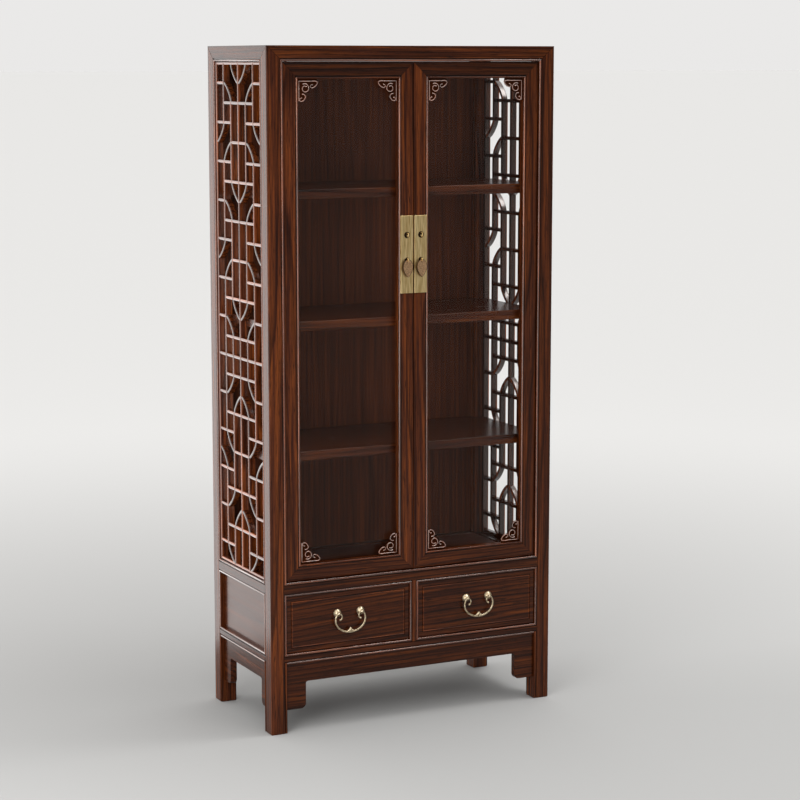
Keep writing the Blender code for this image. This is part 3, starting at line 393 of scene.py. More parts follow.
def stained_elm(name, along=None, inside=False, calm=False, gloss=(1.28, 0.07)):
    """Elm under dark stain and satin lacquer: warm streaks, dark rings, open pores, soft shine."""
    if name in bpy.data.materials:
        return bpy.data.materials[name]
    material = new_material(name)
    log = log_place(material, along)
    calm = calm or inside
    times = {"data_type": "RGBA", "blend_type": "MULTIPLY"}
    mixed = {0: 0.4 if calm else 0.85, 6: elm_streaks(material, log, calm), 7: growth_rings(material, log)}
    wood = add_node(material, "ShaderNodeMix", mixed, **times).outputs[2]
    # Fibres and pores are a few tenths of a millimetre wide; they are drawn wider so that they show
    fibre = grain_spots(material, log, 160, 4, 4.0, 0.7)
    low, high = (0.8, 1.2) if calm else (0.5, 1.42)
    span = {"Value": fibre, "From Min": 0.3, "From Max": 0.7, "To Min": low, "To Max": high}
    light = add_node(material, "ShaderNodeMapRange", span).outputs["Result"]
    wood = add_node(material, "ShaderNodeMix", {0: 1.0, 6: wood, 7: light}, **times).outputs[2]
    mixed = {0: open_pores(material, log, calm), 6: wood, 7: (*colours().pore, 1.0)}
    wood = add_node(material, "ShaderNodeMix", mixed, data_type="RGBA").outputs[2]
    mixed = {0: 1.0, 6: wood, 7: board_tone(material, along)}
    wood = add_node(material, "ShaderNodeMix", mixed, **times).outputs[2]
    low, high = (0.42, 0.6) if inside else (0.16, 0.28)
    span = {"Value": fibre, "From Min": 0.3, "From Max": 0.7, "To Min": low, "To Max": high}
    rough = add_node(material, "ShaderNodeMapRange", span).outputs["Result"]
    bump = {"Strength": 0.3, "Distance": 0.0005, "Height": light}
    normal = add_node(material, "ShaderNodeBump", bump).outputs["Normal"]
    index, coat = gloss
    looks = {"Base_Color": wood, "Roughness": rough, "Normal": normal, "Coat_Weight": coat, "IOR": index}
    return close_material(material, Coat_Roughness=0.16, Specular_Tint=SHINE_TINT, **looks)


def aged_metal(name, light, shade, spot):
    """Metal with a worn skin: paler where it is rubbed, duller in its blotches; spot is their size in mm."""
    if name in bpy.data.materials:
        return bpy.data.materials[name]
    material = new_material(name)
    place = add_node(material, "ShaderNodeTexCoord").outputs["Object"]
    scale = tuple(1 / (size * MM) for size in spot)
    spots = add_node(material, "ShaderNodeVectorMath", {0: place, 1: scale}, operation="MULTIPLY")
    blotch = {"Vector": spots.outputs[0], "Scale": 1.0, "Detail": 3.0, "Roughness": 0.6}
    blotch = add_node(material, "ShaderNodeTexNoise", blotch).outputs["Fac"]
    ramp = add_node(material, "ShaderNodeValToRGB", {"Fac": blotch})
    metal = set_stops(ramp, [(0.32, shade), (0.66, light)])
    span = {"Value": blotch, "From Min": 0.3, "From Max": 0.7, "To Min": 0.44, "To Max": 0.28}
    rough = add_node(material, "ShaderNodeMapRange", span).outputs["Result"]
    return close_material(material, Base_Color=metal, Roughness=rough, Metallic=1.0)


def brushed_brass():
    """Rolled brass brushed upright: the door plates' pale gold with fine upright streaks."""
    return aged_metal("Brushed brass", colours().brass, colours().brass_shade, (2.2, 2.2, 50))


def cast_brass():
    """Pale cast brass of the pulls, with duller blotches."""
    return aged_metal("Cast brass", colours().casting, colours().casting_shade, (5, 5, 5))


def brown_bronze():
    """Pinkish brown bronze of the pendants, which stands out from the yellower plates."""
    return aged_metal("Brown bronze", colours().bronze, colours().bronze_shade, (2, 2, 2))


def blackened_iron_and_shadow():
    """Blackened iron of the washers; on the pendants' rims it paints a shadow round their edges."""
    return aged_metal("Blackened iron", colours().iron, colours().iron_shade, (2, 2, 2))


def clear_glass(name):
    """Thin window glass: seen straight through, with a mirror sheen that grows toward grazing angles."""
    if name in bpy.data.materials:
        return bpy.data.materials[name]
    material = new_material(name)
    # The mirror share rises alike on both faces of the pane, from under one part in a hundred seen square on
    aslant = add_node(material, "ShaderNodeLayerWeight", {"Blend": 0.5}).outputs["Facing"]
    rise = add_node(material, "ShaderNodeMath", {0: aslant, 1: 5.0}, operation="POWER").outputs[0]
    span = {"Value": rise, "To Min": 0.008, "To Max": 1.0}
    sheen = add_node(material, "ShaderNodeMapRange", span).outputs["Result"]
    tint = (*colours().pane, 1.0)
    return close_material(material, Base_Color=tint, Metallic=1.0, Roughness=0.03, Alpha=sheen)


# Modelling


def start_piece():
    """An empty mesh whose corners can hold their place in the log."""
    bm = bmesh.new()
    bm.loops.layers.float_vector.new(GRAIN)
    bm.loops.layers.float.new(TONE)
    return bm


def share(number, turn):
    """A steady stand-in for chance, between 0 and 1, from two steps that never fall together."""
    return (number * 0.6180339 + turn * 0.7548777) % 1.0


def lay_grain(bm, faces, along, number, tilt=0.05, shade=1.0):
    """Store where each corner lies in the log, and the board's tone; each is cut from its own place."""
    layer = bm.loops.layers.float_vector[GRAIN]
    toned = bm.loops.layers.float[TONE]
    tone = shade * (1.0 if along == "z" else LEVEL_TONE) * (0.9 + 0.2 * share(number, 6))
    run = AXES[along]
    across, depth = (axis for axis in range(3) if axis != run)
    places = [vert.co for face in faces for vert in face.verts]
    middle = [(min(p[axis] for p in places) + max(p[axis] for p in places)) / 2 for axis in range(3)]
    start = LOG_LENGTH * share(number, 1)
    aside = LOG_ASIDE * (share(number, 2) - 0.5)
    pith = PITH_NEAR + PITH_SPAN * share(number, 3)
    slopes = (tilt * 0.4 * (share(number, 4) - 0.5), tilt * (share(number, 5) - 0.5))
    for face in faces:
        for loop in face.loops:
            place = [loop.vert.co[axis] - middle[axis] for axis in range(3)]
            forward = place[run]
            sideways = place[across] + aside + slopes[0] * forward
            loop[layer] = (forward + start, sideways, place[depth] + pith + slopes[1] * forward)
            loop[toned] = tone


def tint_faces(bm, faces, tone):
    """Give some faces a tone of their own."""
    toned = bm.loops.layers.float[TONE]
    for face in faces:
        for loop in face.loops:
            loop[toned] = tone


def shade_board(bm, factor):
    """Make a whole board lighter or darker."""
    toned = bm.loops.layers.float[TONE]
    for face in bm.faces:
        for loop in face.loops:
            loop[toned] *= factor


def round_edges(bm, edges, radius, segments=3):
    """Round edges off."""
    settings = {"segments": segments, "profile": 0.5, "affect": "EDGES", "material": -1}
    bmesh.ops.bevel(bm, geom=list(edges), offset=radius, **settings)


def fresh(items, before):
    """What is in a mesh now and wasn't before."""
    return [item for item in items if item not in before]


def add_board(bm, low, high, along, number, rounding, segments=3):
    """A plain board between two corners, its edges rounded."""
    before = set(bm.faces)
    low, high = Vector(low), Vector(high)
    verts = bmesh.ops.create_cube(bm, size=1.0)["verts"]
    bmesh.ops.scale(bm, vec=high - low, verts=verts)
    bmesh.ops.translate(bm, vec=(low + high) / 2, verts=verts)
    round_edges(bm, {edge for vert in verts for edge in vert.link_edges}, rounding, segments)
    lay_grain(bm, fresh(bm.faces, before), along, number)


def add_slab(bm, outline, depth, rounding=0.0, segments=2, both=False):
    """A board cut to an outline, its front edges or both faces' edges rounded; returns its vertices."""
    before = set(bm.verts)
    face = bm.faces.new([bm.verts.new((*point, 0.0)) for point in outline])
    grown = bmesh.ops.extrude_face_region(bm, geom=[face])["geom"]
    top = {item for item in grown if isinstance(item, bmesh.types.BMVert)}
    bmesh.ops.translate(bm, vec=(0, 0, depth), verts=list(top))
    if rounding:
        verts = fresh(bm.verts, before)
        edges = {edge for vert in verts for edge in vert.link_edges}
        flat = [edge for edge in edges if abs(edge.verts[0].co.z - edge.verts[1].co.z) < depth / 2]
        chosen = flat if both else [edge for edge in flat if edge.verts[0] in top]
        round_edges(bm, chosen, rounding, segments)
    return fresh(bm.verts, before)


def faces_of(verts):
    """All faces that touch some vertices."""
    return list({face for vert in verts for face in vert.link_faces})


def add_wire(bm, points, radius, swell=None, sides=4):
    """A round strand along points, with a swelling for each point; returns its vertices."""
    before = set(bm.verts)
    curve = bpy.data.curves.new("strand", "CURVE")
    curve.dimensions = "3D"
    curve.bevel_depth = radius
    curve.bevel_resolution = sides - 2
    curve.use_fill_caps = True
    spline = curve.splines.new("POLY")
    spline.points.add(len(points) - 1)
    for index, place in enumerate(points):
        spline.points[index].co = (*place, 1.0)
        spline.points[index].radius = swell[index] if swell else 1.0
    holder = bpy.data.objects.new("strand", curve)
    bm.from_mesh(holder.to_mesh())
    holder.to_mesh_clear()
    bpy.data.objects.remove(holder)
    bpy.data.curves.remove(curve)
    return fresh(bm.verts, before)


def add_ball(bm, place, radii, segments=12):
    """A ball or an egg."""
    rings = segments // 2 + 1
    verts = bmesh.ops.create_uvsphere(bm, u_segments=segments, v_segments=rings, radius=1.0)["verts"]
    bmesh.ops.scale(bm, vec=radii, verts=verts)
    bmesh.ops.translate(bm, vec=place, verts=verts)


def arc(centre, radii, start, end, steps):
    """Points on an ellipse from one angle to another, both ends included."""
    points = []
    for step in range(steps + 1):
        bearing = start + (end - start) * step / steps
        points.append((centre[0] + radii[0] * math.cos(bearing), centre[1] + radii[1] * math.sin(bearing)))
    return points


def finish_piece(name, bm, body, material, slot, *nodes):
    """Make the mesh an object of the cabinet that moves with a body and stands for solid nodes."""
    bmesh.ops.recalc_face_normals(bm, faces=bm.faces)
    # Painted shade on the boards listed as shaded
    for node in nodes:
        shade_board(bm, SHADED_BOARD_TONES.get(node, 1.0))
    mesh = bpy.data.meshes.new(name)
    bm.to_mesh(mesh)
    bm.free()
    mesh.materials.append(material)
    mesh.shade_smooth()
    mesh.set_sharp_from_angle(angle=SMOOTH_ANGLE)
    piece = bpy.data.objects.new(name, mesh)
    bpy.context.scene.collection.objects.link(piece)
    piece.modifiers.new("Flat faces stay flat", "WEIGHTED_NORMAL").keep_sharp = True
    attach(piece, body)
    if nodes:
        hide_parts(*nodes)


def dress(node, material):
    """Give a solid node its finish."""
    for slot in frame["nodes"][node].material_slots:
        slot.material = material


def outside_elm():
    """The lacquered elm of the outside."""
    return stained_elm("Stained elm, satin lacquer")


def bead_elm():
    """The elm of the beads, rubbed to a shine that draws pale lines round the openings."""
    return stained_elm("Stained elm, polished bead", gloss=(1.7, 0.8))


def carved_elm():
    """The elm of the carved corners: small bright glints on dark strands."""
    return stained_elm("Stained elm, carved", gloss=(3.5, 1.0))


def fret_elm():
    """The elm of the lattices, whose rubbed bars catch more light than the posts."""
    return stained_elm("Stained elm, polished fret", gloss=(1.55, 0.4))


def ground_elm():
    """The dull elm of the ground behind the carved strands, which gets painted shade."""
    return stained_elm("Stained elm, carved ground", inside=True, gloss=(1.1, 0.0))


# Posts and rails

# How far and how high the posts' feet are eased
FOOT_INSET = 0.0012
FOOT_RISE = 0.002
# How far the grain of posts and rails may lean, as a slope
STRAIGHT_GRAIN = 0.03


def bead_gap():
    """Width of a bead together with the quirk beside it."""
    return sizes().bead_width + sizes().quirk_width


def bead_root():
    """How deep a bead is let into its post or rail, a little past the quirk's ground."""
    return 1.2 * sizes().quirk_depth


def paint_quirk_shade(bm):
    """Paint shade on the sunk ground that shows beside the beads of the posts and rails."""
    bm.normal_update()
    sunk = sizes().quirk_depth
    for axis, level in ((0, HALF_WIDTH - sunk), (1, HALF_DEPTH - sunk)):
        flat = [face for face in bm.faces if abs(face.normal[axis]) > 0.9]
        ground = [face for face in flat if abs(abs(face.calc_center_median()[axis]) - level) < MITRE_GAP]
        tint_faces(bm, ground, QUIRK_SHADE_TONE)


def hull_piece(points, along, number, wanted):
    """A rail wrapped round points, with the wanted edges rounded."""
    bm = start_piece()
    for point in points:
        bm.verts.new(point)
    bmesh.ops.convex_hull(bm, input=bm.verts)
    bmesh.ops.dissolve_limit(bm, angle_limit=math.radians(1), verts=bm.verts, edges=bm.edges)
    round_edges(bm, [edge for edge in bm.edges if wanted(edge)], sizes().rail_round)
    lay_grain(bm, bm.faces, along, number, STRAIGHT_GRAIN)
    return bm


def runs_along(edge, axis):
    """Say whether an edge runs along an axis."""
    run = edge.verts[1].co - edge.verts[0].co
    return abs(run[axis]) > 0.999 * run.length


def post_section(moulded):
    """Section of a post, out from its inner corner; its faces are sunk along the openings for the beads."""
    width, depth = HALF_WIDTH - INNER_X, HALF_DEPTH - INNER_Y
    gap, sunk, rounding = bead_gap(), sizes().quirk_depth, sizes().post_round
    points = [(0, 0), (width - sunk, 0), (width - sunk, gap), (width, gap)]
    points += arc((width - rounding, depth - rounding), (rounding, rounding), 0, math.pi / 2, 5)
    return points + ([(gap, depth), (gap, depth - sunk), (0, depth - sunk)] if moulded else [(0, depth)])


def saw(bm, place, normal):
    """Cut away what lies beyond a plane, and close the cut."""
    geometry = [*bm.verts, *bm.edges, *bm.faces]
    made = bmesh.ops.bisect_plane(bm, geom=geometry, plane_co=place, plane_no=normal, clear_outer=True)
    edges = [item for item in made["geom_cut"] if isinstance(item, bmesh.types.BMEdge)]
    bmesh.ops.edgeloop_fill(bm, edges=edges)


def ease_long_edges(bm, axis):
    """Take the sharpness off the edges that run along an axis."""
    bmesh.ops.recalc_face_normals(bm, faces=bm.faces)
    bm.normal_update()
    sharp = [edge for edge in bm.edges if runs_along(edge, axis) and edge.calc_face_angle(0) > 1.0]
    round_edges(bm, sharp, sizes().edge_round, 2)


def post_blank(section, across, along):
    """A straight post of a given section in one corner of the cabinet, its foot eased."""
    bm = start_piece()
    add_slab(bm, section, HEIGHT)
    geometry = [*bm.verts, *bm.edges, *bm.faces]
    bmesh.ops.bisect_plane(bm, geom=geometry, plane_co=(0, 0, FOOT_RISE), plane_no=(0, 0, 1))
    foot = [vert for vert in bm.verts if vert.co.z < FOOT_RISE / 2]
    width, depth = HALF_WIDTH - INNER_X, HALF_DEPTH - INNER_Y
    shrink = (1 - 2 * FOOT_INSET / width, 1 - 2 * FOOT_INSET / depth, 1)
    bmesh.ops.scale(bm, vec=shrink, space=Matrix.Translation((-width / 2, -depth / 2, 0)), verts=foot)
    bmesh.ops.scale(bm, vec=(across, along, 1), verts=bm.verts)
    bmesh.ops.translate(bm, vec=(across * INNER_X, along * INNER_Y, 0), verts=bm.verts)
    return bm


def build_posts():
    """Four posts that run on as legs, with mitred heads and eased feet."""
    width, depth = HALF_WIDTH - INNER_X, HALF_DEPTH - INNER_Y
    rise = HEIGHT - TOP_RAIL_BOTTOM
    for number, (end, along) in enumerate(ENDS.items()):
        section = post_section(end == "front")
        for side, across in SIDES.items():
            bm = post_blank(section, across, along)
            corner = Vector((across * INNER_X, along * INNER_Y, TOP_RAIL_BOTTOM - MITRE_GAP))
            saw(bm, corner, Vector((-across * rise, 0, width)).normalized())
            saw(bm, corner, Vector((0, -along * rise, depth)).normalized())
            ease_long_edges(bm, AXES["z"])
            lay_grain(bm, bm.faces, "z", CUTS["posts"] + 2 * number + across, STRAIGHT_GRAIN)
            paint_quirk_shade(bm)
            name = f"post_{end}_{side}"
            finish_piece(f"{name}_mitred", bm, "cabinet", outside_elm(), "elm", name)


def rail_reach(run):
    """Outer and inner half length of a rail along X or Y, then its outer and inner face."""
    reach = (HALF_WIDTH, INNER_X, HALF_DEPTH, INNER_Y)
    return reach if run == AXES["x"] else reach[2:] + reach[:2]


def top_rail_points(run, sign, sunk):
    """Corners of a top rail whose ends come to points at the cabinet's corners."""
    half, inner, outer_face, inner_face = rail_reach(run)
    outer_face -= sunk
    points = []
    for end in (-1, 1):
        for face in (outer_face, inner_face):
            for height in (TOP_RAIL_BOTTOM, HEIGHT):
                points.append((end * (inner - MITRE_GAP), sign * face, height))
        points.append((end * (half - MITRE_GAP), sign * outer_face, HEIGHT))
    if run == AXES["x"]:
        return points
    return [(across, along, height) for along, across, height in points]


def raise_rail_face(bm, where, run, number):
    """Add the raised face of a top rail, above the sunk ground of the bead."""
    half, inner, level, _ = rail_reach(run)
    rise = 2 * sizes().quirk_depth
    low = (inner + bead_gap() - MITRE_GAP, TOP_RAIL_BOTTOM + bead_gap())
    outline = [(-low[0], low[1]), low, (half - MITRE_GAP, HEIGHT), (MITRE_GAP - half, HEIGHT)]
    verts = add_slab(bm, outline, rise, sizes().edge_round, 2)
    bmesh.ops.translate(bm, vec=(0, 0, level - rise), verts=verts)
    bmesh.ops.transform(bm, matrix=FACING[where], verts=verts)
    lay_grain(bm, faces_of(verts), "xy"[run], number, STRAIGHT_GRAIN)
    paint_quirk_shade(bm)


def top_rail(where, sign, number):
    """A top rail with pointed ends, moulded except at the back."""
    run = AXES["x"] if where in ENDS else AXES["y"]
    sunk = 0.0 if where == "back" else sizes().quirk_depth

    def wanted(edge):
        return runs_along(edge, run) and edge.verts[0].co.z < HEIGHT - MITRE_GAP

    bm = hull_piece(top_rail_points(run, sign, sunk), "xy"[run], number, wanted)
    if sunk:
        raise_rail_face(bm, where, run, number)
    return bm


def moulded_bar(low, high, face, sign, run, number):
    """A bar between two others: a body sunk at its face for the beads, and the raised flat between them."""
    bm = start_piece()
    sunk, gap = sizes().quirk_depth, bead_gap()
    body, flat = ([low.copy(), high.copy()] for _ in range(2))
    outer = 0 if sign < 0 else 1
    body[outer][face] -= sign * sunk
    flat[1 - outer][face] = flat[outer][face] - sign * 2 * sunk
    for corner, way in zip(flat, (-1, 1)):
        corner[run] += way * (gap - MITRE_GAP)
        corner[3 - face - run] -= way * gap
    add_board(bm, *body, "xyz"[run], number, sizes().rail_round)
    add_board(bm, *flat, "xyz"[run], number, sizes().edge_round, 2)
    paint_quirk_shade(bm)
    return bm


def build_rails():
    """The mitred top frame, the two lower tiers of rails and the divider between the drawers."""
    for number, (where, sign) in enumerate({**ENDS, **SIDES}.items()):
        face = AXES["y"] if where in ENDS else AXES["x"]
        bm = top_rail(where, sign, CUTS["top rails"] + number)
        finish_piece(f"top_rail_{where}_mitred", bm, "cabinet", outside_elm(), "elm", f"top_rail_{where}")
        for tier, label in enumerate(("mid_rail", "lower_rail")):
            name = f"{label}_{where}"
            cut = CUTS["rails"] + 4 * tier + number
            if where == "back":
                bm = start_piece()
                add_board(bm, *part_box(name), "x", cut, sizes().rail_round)
            else:
                bm = moulded_bar(*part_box(name), face, sign, 1 - face, cut)
            finish_piece(f"{name}_planed", bm, "cabinet", outside_elm(), "elm", name)
    bm = moulded_bar(*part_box("drawer_divider"), AXES["y"], ENDS["front"], AXES["z"], CUTS["divider"])
    finish_piece("drawer_divider_planed", bm, "cabinet", outside_elm(), "elm", "drawer_divider")


def ring_faces(bm, low, high, height):
    """Flat faces of a bead's ring round an opening, mitred at its corners."""
    width = sizes().bead_width
    corners = [(low[0] - width, low[1] - width), (high[0] + width, low[1] - width)]
    corners += [(high[0] + width, high[1] + width), (low[0] - width, high[1] + width)]
    face = bm.faces.new([bm.verts.new((*corner, height)) for corner in corners])
    face.normal_update()
    inset = {"thickness": width, "use_boundary": True, "use_even_offset": True}
    ring = bmesh.ops.inset_region(bm, faces=[face], **inset)["faces"]
    bmesh.ops.delete(bm, geom=[face], context="FACES_ONLY")
    return ring


def add_bead(bm, facing, low, high, level, number):
    """A rounded bead round an opening."""
    before = set(bm.verts)
    ring = ring_faces(bm, low, high, level - bead_root())
    grown = bmesh.ops.extrude_face_region(bm, geom=ring)["geom"]
    top = [item for item in grown if isinstance(item, bmesh.types.BMVert)]
    bmesh.ops.translate(bm, vec=(0, 0, bead_root() + sizes().bead_rise), verts=top)
    edges = {edge for vert in top for edge in vert.link_edges if edge.other_vert(vert) in top}
    for face in faces_of(top):
        face.normal_update()
    walls = [edge for edge in edges if any(abs(face.normal.z) < 0.5 for face in edge.link_faces)]
    round_edges(bm, walls, sizes().bead_round, 3)
    verts = fresh(bm.verts, before)
    faces = faces_of(verts)
    upright = [face for face in faces if is_upright(face, low, high)]
    level_ones = [face for face in faces if face not in set(upright)]
    bmesh.ops.transform(bm, matrix=FACING[facing], verts=verts)
    # The bead is painted paler, a painted highlight
    lay_grain(bm, upright, "z", number, shade=BEAD_HIGHLIGHT_TONE)
    lay_grain(bm, level_ones, "x" if facing == "front" else "y", number + 1, shade=BEAD_HIGHLIGHT_TONE)


def is_upright(face, low, high):
    """Say whether a face of a frame belongs to its upright bars, and not to its level ones."""
    middle = face.calc_center_median()
    aside = max(low[0] - middle.x, middle.x - high[0])
    above = max(low[1] - middle.y, middle.y - high[1])
    return aside > above


def add_strip(bm, facing, low, high, along, shade):
    """A straight bead on one side of the cabinet, between two corners of that side."""
    level = HALF_DEPTH if facing == "front" else HALF_WIDTH
    before = set(bm.faces)
    back, crown = level - bead_root(), level + sizes().bead_rise
    add_board(bm, (*low, back), (*high, crown), "z", CUTS["strips"], sizes().bead_round)
    faces = fresh(bm.faces, before)
    verts = list({vert for face in faces for vert in face.verts})
    bmesh.ops.transform(bm, matrix=FACING[facing], verts=verts)
    lay_grain(bm, faces, along, CUTS["strips"], shade=shade)


def add_apron_beads(bm, legs, facing, inner):
    """A bead under the lower rail, and one down each leg in a mesh of their own."""
    width = sizes().bead_width
    crown = LOWER_RAIL_BOTTOM + width
    along = "x" if facing == "front" else "y"
    # The bead under the rail is painted paler, a painted highlight; the leg beads are not
    add_strip(bm, facing, (-inner, LOWER_RAIL_BOTTOM), (inner, crown), along, BEAD_HIGHLIGHT_TONE)
    for sign in (-1, 1):
        near, far = sorted((sign * inner, sign * (inner + width)))
        add_strip(legs, facing, (near, FOOT_RISE / 2), (far, crown), "z", 1.0)


def build_beads():
    """Beads round the door opening, the drawers, the lattices, the side panels and the aprons."""
    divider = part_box("drawer_divider")[1].x
    doors = ((-INNER_X, MID_RAIL_TOP), (INNER_X, TOP_RAIL_BOTTOM))
    left_drawer = ((-INNER_X, LOWER_RAIL_TOP), (-divider, MID_RAIL_BOTTOM))
    right_drawer = ((divider, LOWER_RAIL_TOP), (INNER_X, MID_RAIL_BOTTOM))
    bm, legs = start_piece(), start_piece()
    for number, (low, high) in enumerate((doors, left_drawer, right_drawer)):
        add_bead(bm, "front", low, high, HALF_DEPTH, CUTS["front beads"] + 2 * number)
    add_apron_beads(bm, legs, "front", INNER_X)
    finish_piece("front_beads", bm, "cabinet", bead_elm(), "elm")
    finish_piece("front_leg_beads", legs, "cabinet", outside_elm(), "elm")
    lattice = ((-INNER_Y, MID_RAIL_TOP), (INNER_Y, TOP_RAIL_BOTTOM))
    panel = ((-INNER_Y, LOWER_RAIL_TOP), (INNER_Y, MID_RAIL_BOTTOM))
    for number, side in enumerate(SIDES):
        bm, legs = start_piece(), start_piece()
        add_bead(bm, side, *lattice, HALF_WIDTH, CUTS["lattice beads"] + number)
        add_bead(bm, side, *panel, HALF_WIDTH, CUTS["panel beads"] + number)
        add_apron_beads(bm, legs, side, INNER_Y)
        finish_piece(f"{side}_beads", bm, "cabinet", bead_elm(), "elm")
        finish_piece(f"{side}_leg_beads", legs, "cabinet", outside_elm(), "elm")


# Panels, shelves and aprons

SHELF_ROUND = 0.003
# Height of the aprons' straight edge, the fillets beside it and the brackets' rounded toes
APRON_EDGE = 0.134
APRON_FILLET = 0.006
TOE_ROUND = 0.014
FRONT_BRACKET = 0.058
SIDE_BRACKET = 0.046


def build_panels():
    """Plain boards that keep the solid model's shape, each with its grain along its length."""
    outside = {"top_panel": "x", "side_panel_left": "y", "side_panel_right": "y"}
    inside = {"cabinet_floor": "x", "back_panel_upper": "z", "back_panel_lower": "x"}
    for side in SIDES:
        inside[f"drawer_{side}_box"] = "y"
        inside[f"drawer_{side}_bottom"] = "x"
    for place in ("left", "middle", "right"):
        inside[f"drawer_runner_{place}"] = "y"
    for node, along in outside.items():
        dress(node, stained_elm(f"Stained elm, satin lacquer, grain along {along}", along, calm=True))
    for node, along in inside.items():
        name = f"Stained elm, bare inside, grain along {along}"
        dress(node, stained_elm(name, along, inside=True, gloss=(1.3, 0.0)))


def shelf_outline(low, high):
    """Outline of a shelf, notched at its corners round the posts."""
    outline = []
    inner_x, inner_y = INNER_X - MITRE_GAP, INNER_Y - MITRE_GAP
    for sign_x, sign_y in ((1, 1), (-1, 1), (-1, -1), (1, -1)):
        reach_y = high.y if sign_y > 0 else -low.y
        notch = [(high.x, inner_y), (inner_x, inner_y), (inner_x, reach_y)]
        notch = [(sign_x * x, sign_y * y) for x, y in notch]
        outline += notch if sign_x * sign_y > 0 else notch[::-1]
    return outline


def build_shelves():
    """Three shelves notched round the posts, their edges eased."""
    for number in (1, 2, 3):
        low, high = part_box(f"shelf_{number}")
        bm = start_piece()
        verts = add_slab(bm, shelf_outline(low, high), high.z - low.z, SHELF_ROUND, 3, both=True)
        bmesh.ops.translate(bm, vec=(0, 0, low.z), verts=verts)
        lay_grain(bm, bm.faces, "x", CUTS["shelves"] + 3 * number)
        finish_piece(f"shelf_{number}_eased", bm, "cabinet", outside_elm(), "elm", f"shelf_{number}")


def apron_outline(half_length, bracket):
    """An apron's outline: a straight edge between two brackets with rounded toes."""
    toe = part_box("apron_front")[0].z
    inner = half_length - bracket
    fillet = (inner - APRON_FILLET, APRON_EDGE - APRON_FILLET)
    right = arc(fillet, (APRON_FILLET, APRON_FILLET), math.pi / 2, 0, 5)
    right += arc((inner + TOE_ROUND, toe + TOE_ROUND), (TOE_ROUND, TOE_ROUND), math.pi, math.pi * 1.5, 7)
    right += [(half_length, toe), (half_length, LOWER_RAIL_BOTTOM)]
    return right + [(-x, z) for x, z in reversed(right)]


def build_aprons():
    """Aprons under the front and side rails."""
    side_run = (INNER_Y, SIDE_BRACKET, "y")
    runs = {"front": (INNER_X, FRONT_BRACKET, "x"), "left": side_run, "right": side_run}
    for number, (where, (half, bracket, along)) in enumerate(runs.items()):
        low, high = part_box(f"apron_{where}")
        back, face = {"front": (-high.y, -low.y), "left": (-high.x, -low.x), "right": (low.x, high.x)}[where]
        bm = start_piece()
        verts = add_slab(bm, apron_outline(half - MITRE_GAP, bracket), face - back, sizes().rail_round, 3)
        bmesh.ops.translate(bm, vec=(0, 0, back), verts=verts)
        bmesh.ops.transform(bm, matrix=FACING[where], verts=bm.verts)
        lay_grain(bm, bm.faces, along, CUTS["aprons"] + number)
        finish_piece(f"apron_{where}_shaped", bm, "cabinet", outside_elm(), "elm", f"apron_{where}")


# Lattices

LATTICE_COLUMNS = 6
LATTICE_ROWS = 26
FRET_REPEAT = 6
FRET_MIRROR = 15
# Columns that the level bars span, for each row of the repeat
FRET_SPANS = {
    0: ((1, 5),),
    1: ((0, 1), (5, 6)),
    2: ((1, 5),),
    3: ((0, 2), (4, 6)),
    4: ((2, 4),),
    5: ((0, 2), (4, 6)),
}
# Sweeps below a row: the upright they break, the column where they lie level, and if they start upright
FRET_SWEEPS = {0: (2, 3, True), 1: (2, 1, False), 3: (1, 0, True), 4: (1, 2, False)}
# How far a sweep keeps its first and last heading, as a share of its rise and run
SWEEP_HANDLE = 0.3
SWEEP_STEPS = 8


def fret_place(column, row):
    """Where a crossing of the fret's grid lies on the side of the cabinet."""
    low, high = LATTICE_BOX
    edge = sizes().lattice_bar / 2
    across = low.y + edge + (high.y - low.y - 2 * edge) * column / LATTICE_COLUMNS
    return Vector((across, high.z - edge - (high.z - low.z - 2 * edge) * row / LATTICE_ROWS))


def fret_sweeps():
    """The swept bars, each as the crossing it leaves upright and the crossing it reaches level."""
    sweeps = []
    for row in range(LATTICE_ROWS):
        flipped = row >= FRET_MIRROR
        mirrored = 2 * FRET_MIRROR - 1 - row if flipped else row
        if mirrored % FRET_REPEAT in FRET_SWEEPS:
            upright, level, on_top = FRET_SWEEPS[mirrored % FRET_REPEAT]
            rows = (row, row + 1) if on_top != flipped else (row + 1, row)
            for a, b in ((upright, level), (LATTICE_COLUMNS - upright, LATTICE_COLUMNS - level)):
                sweeps.append(((a, rows[0]), (b, rows[1])))
    return sweeps


def upright_runs(sweeps):
    """Unbroken runs of the upright bars, as column, first row and last row."""
    broken = {(start[0], min(start[1], end[1])) for start, end in sweeps}
    runs = []
    for column in range(LATTICE_COLUMNS + 1):
        first = 0
        for row in range(LATTICE_ROWS + 1):
            if row == LATTICE_ROWS or (column, row) in broken:
                if row > first:
                    runs.append((column, first, row))
                first = row + 1
    return runs


def level_runs():
    """Runs of the level bars, as row, first column and last column."""
    runs = []
    for row in range(LATTICE_ROWS + 1):
        spans = ((0, LATTICE_COLUMNS),)
        if 0 < row < LATTICE_ROWS and row != FRET_MIRROR:
            spans = FRET_SPANS[min(row, 2 * FRET_MIRROR - row) % FRET_REPEAT]
        runs += [(row, *span) for span in spans]
    return runs


def sweep_outline(start, end):
    """Outline of a bar that leaves one crossing upright and arrives at the next one level."""
    near = Vector((start.x, start.y + SWEEP_HANDLE * (end.y - start.y)))
    far = Vector((end.x - SWEEP_HANDLE * (end.x - start.x), end.y))
    half = sizes().lattice_bar / 2
    one_side, other_side = [], []
    for step in range(SWEEP_STEPS + 1):
        t = step / SWEEP_STEPS
        s = 1 - t
        point = s**3 * start + 3 * s * s * t * near + 3 * s * t * t * far + t**3 * end
        run = s * s * (near - start) + 2 * s * t * (far - near) + t * t * (end - far)
        aside = Vector((-run.y, run.x)).normalized() * half
        one_side.append(point + aside)
        other_side.append(point - aside)
    return one_side + other_side[::-1]


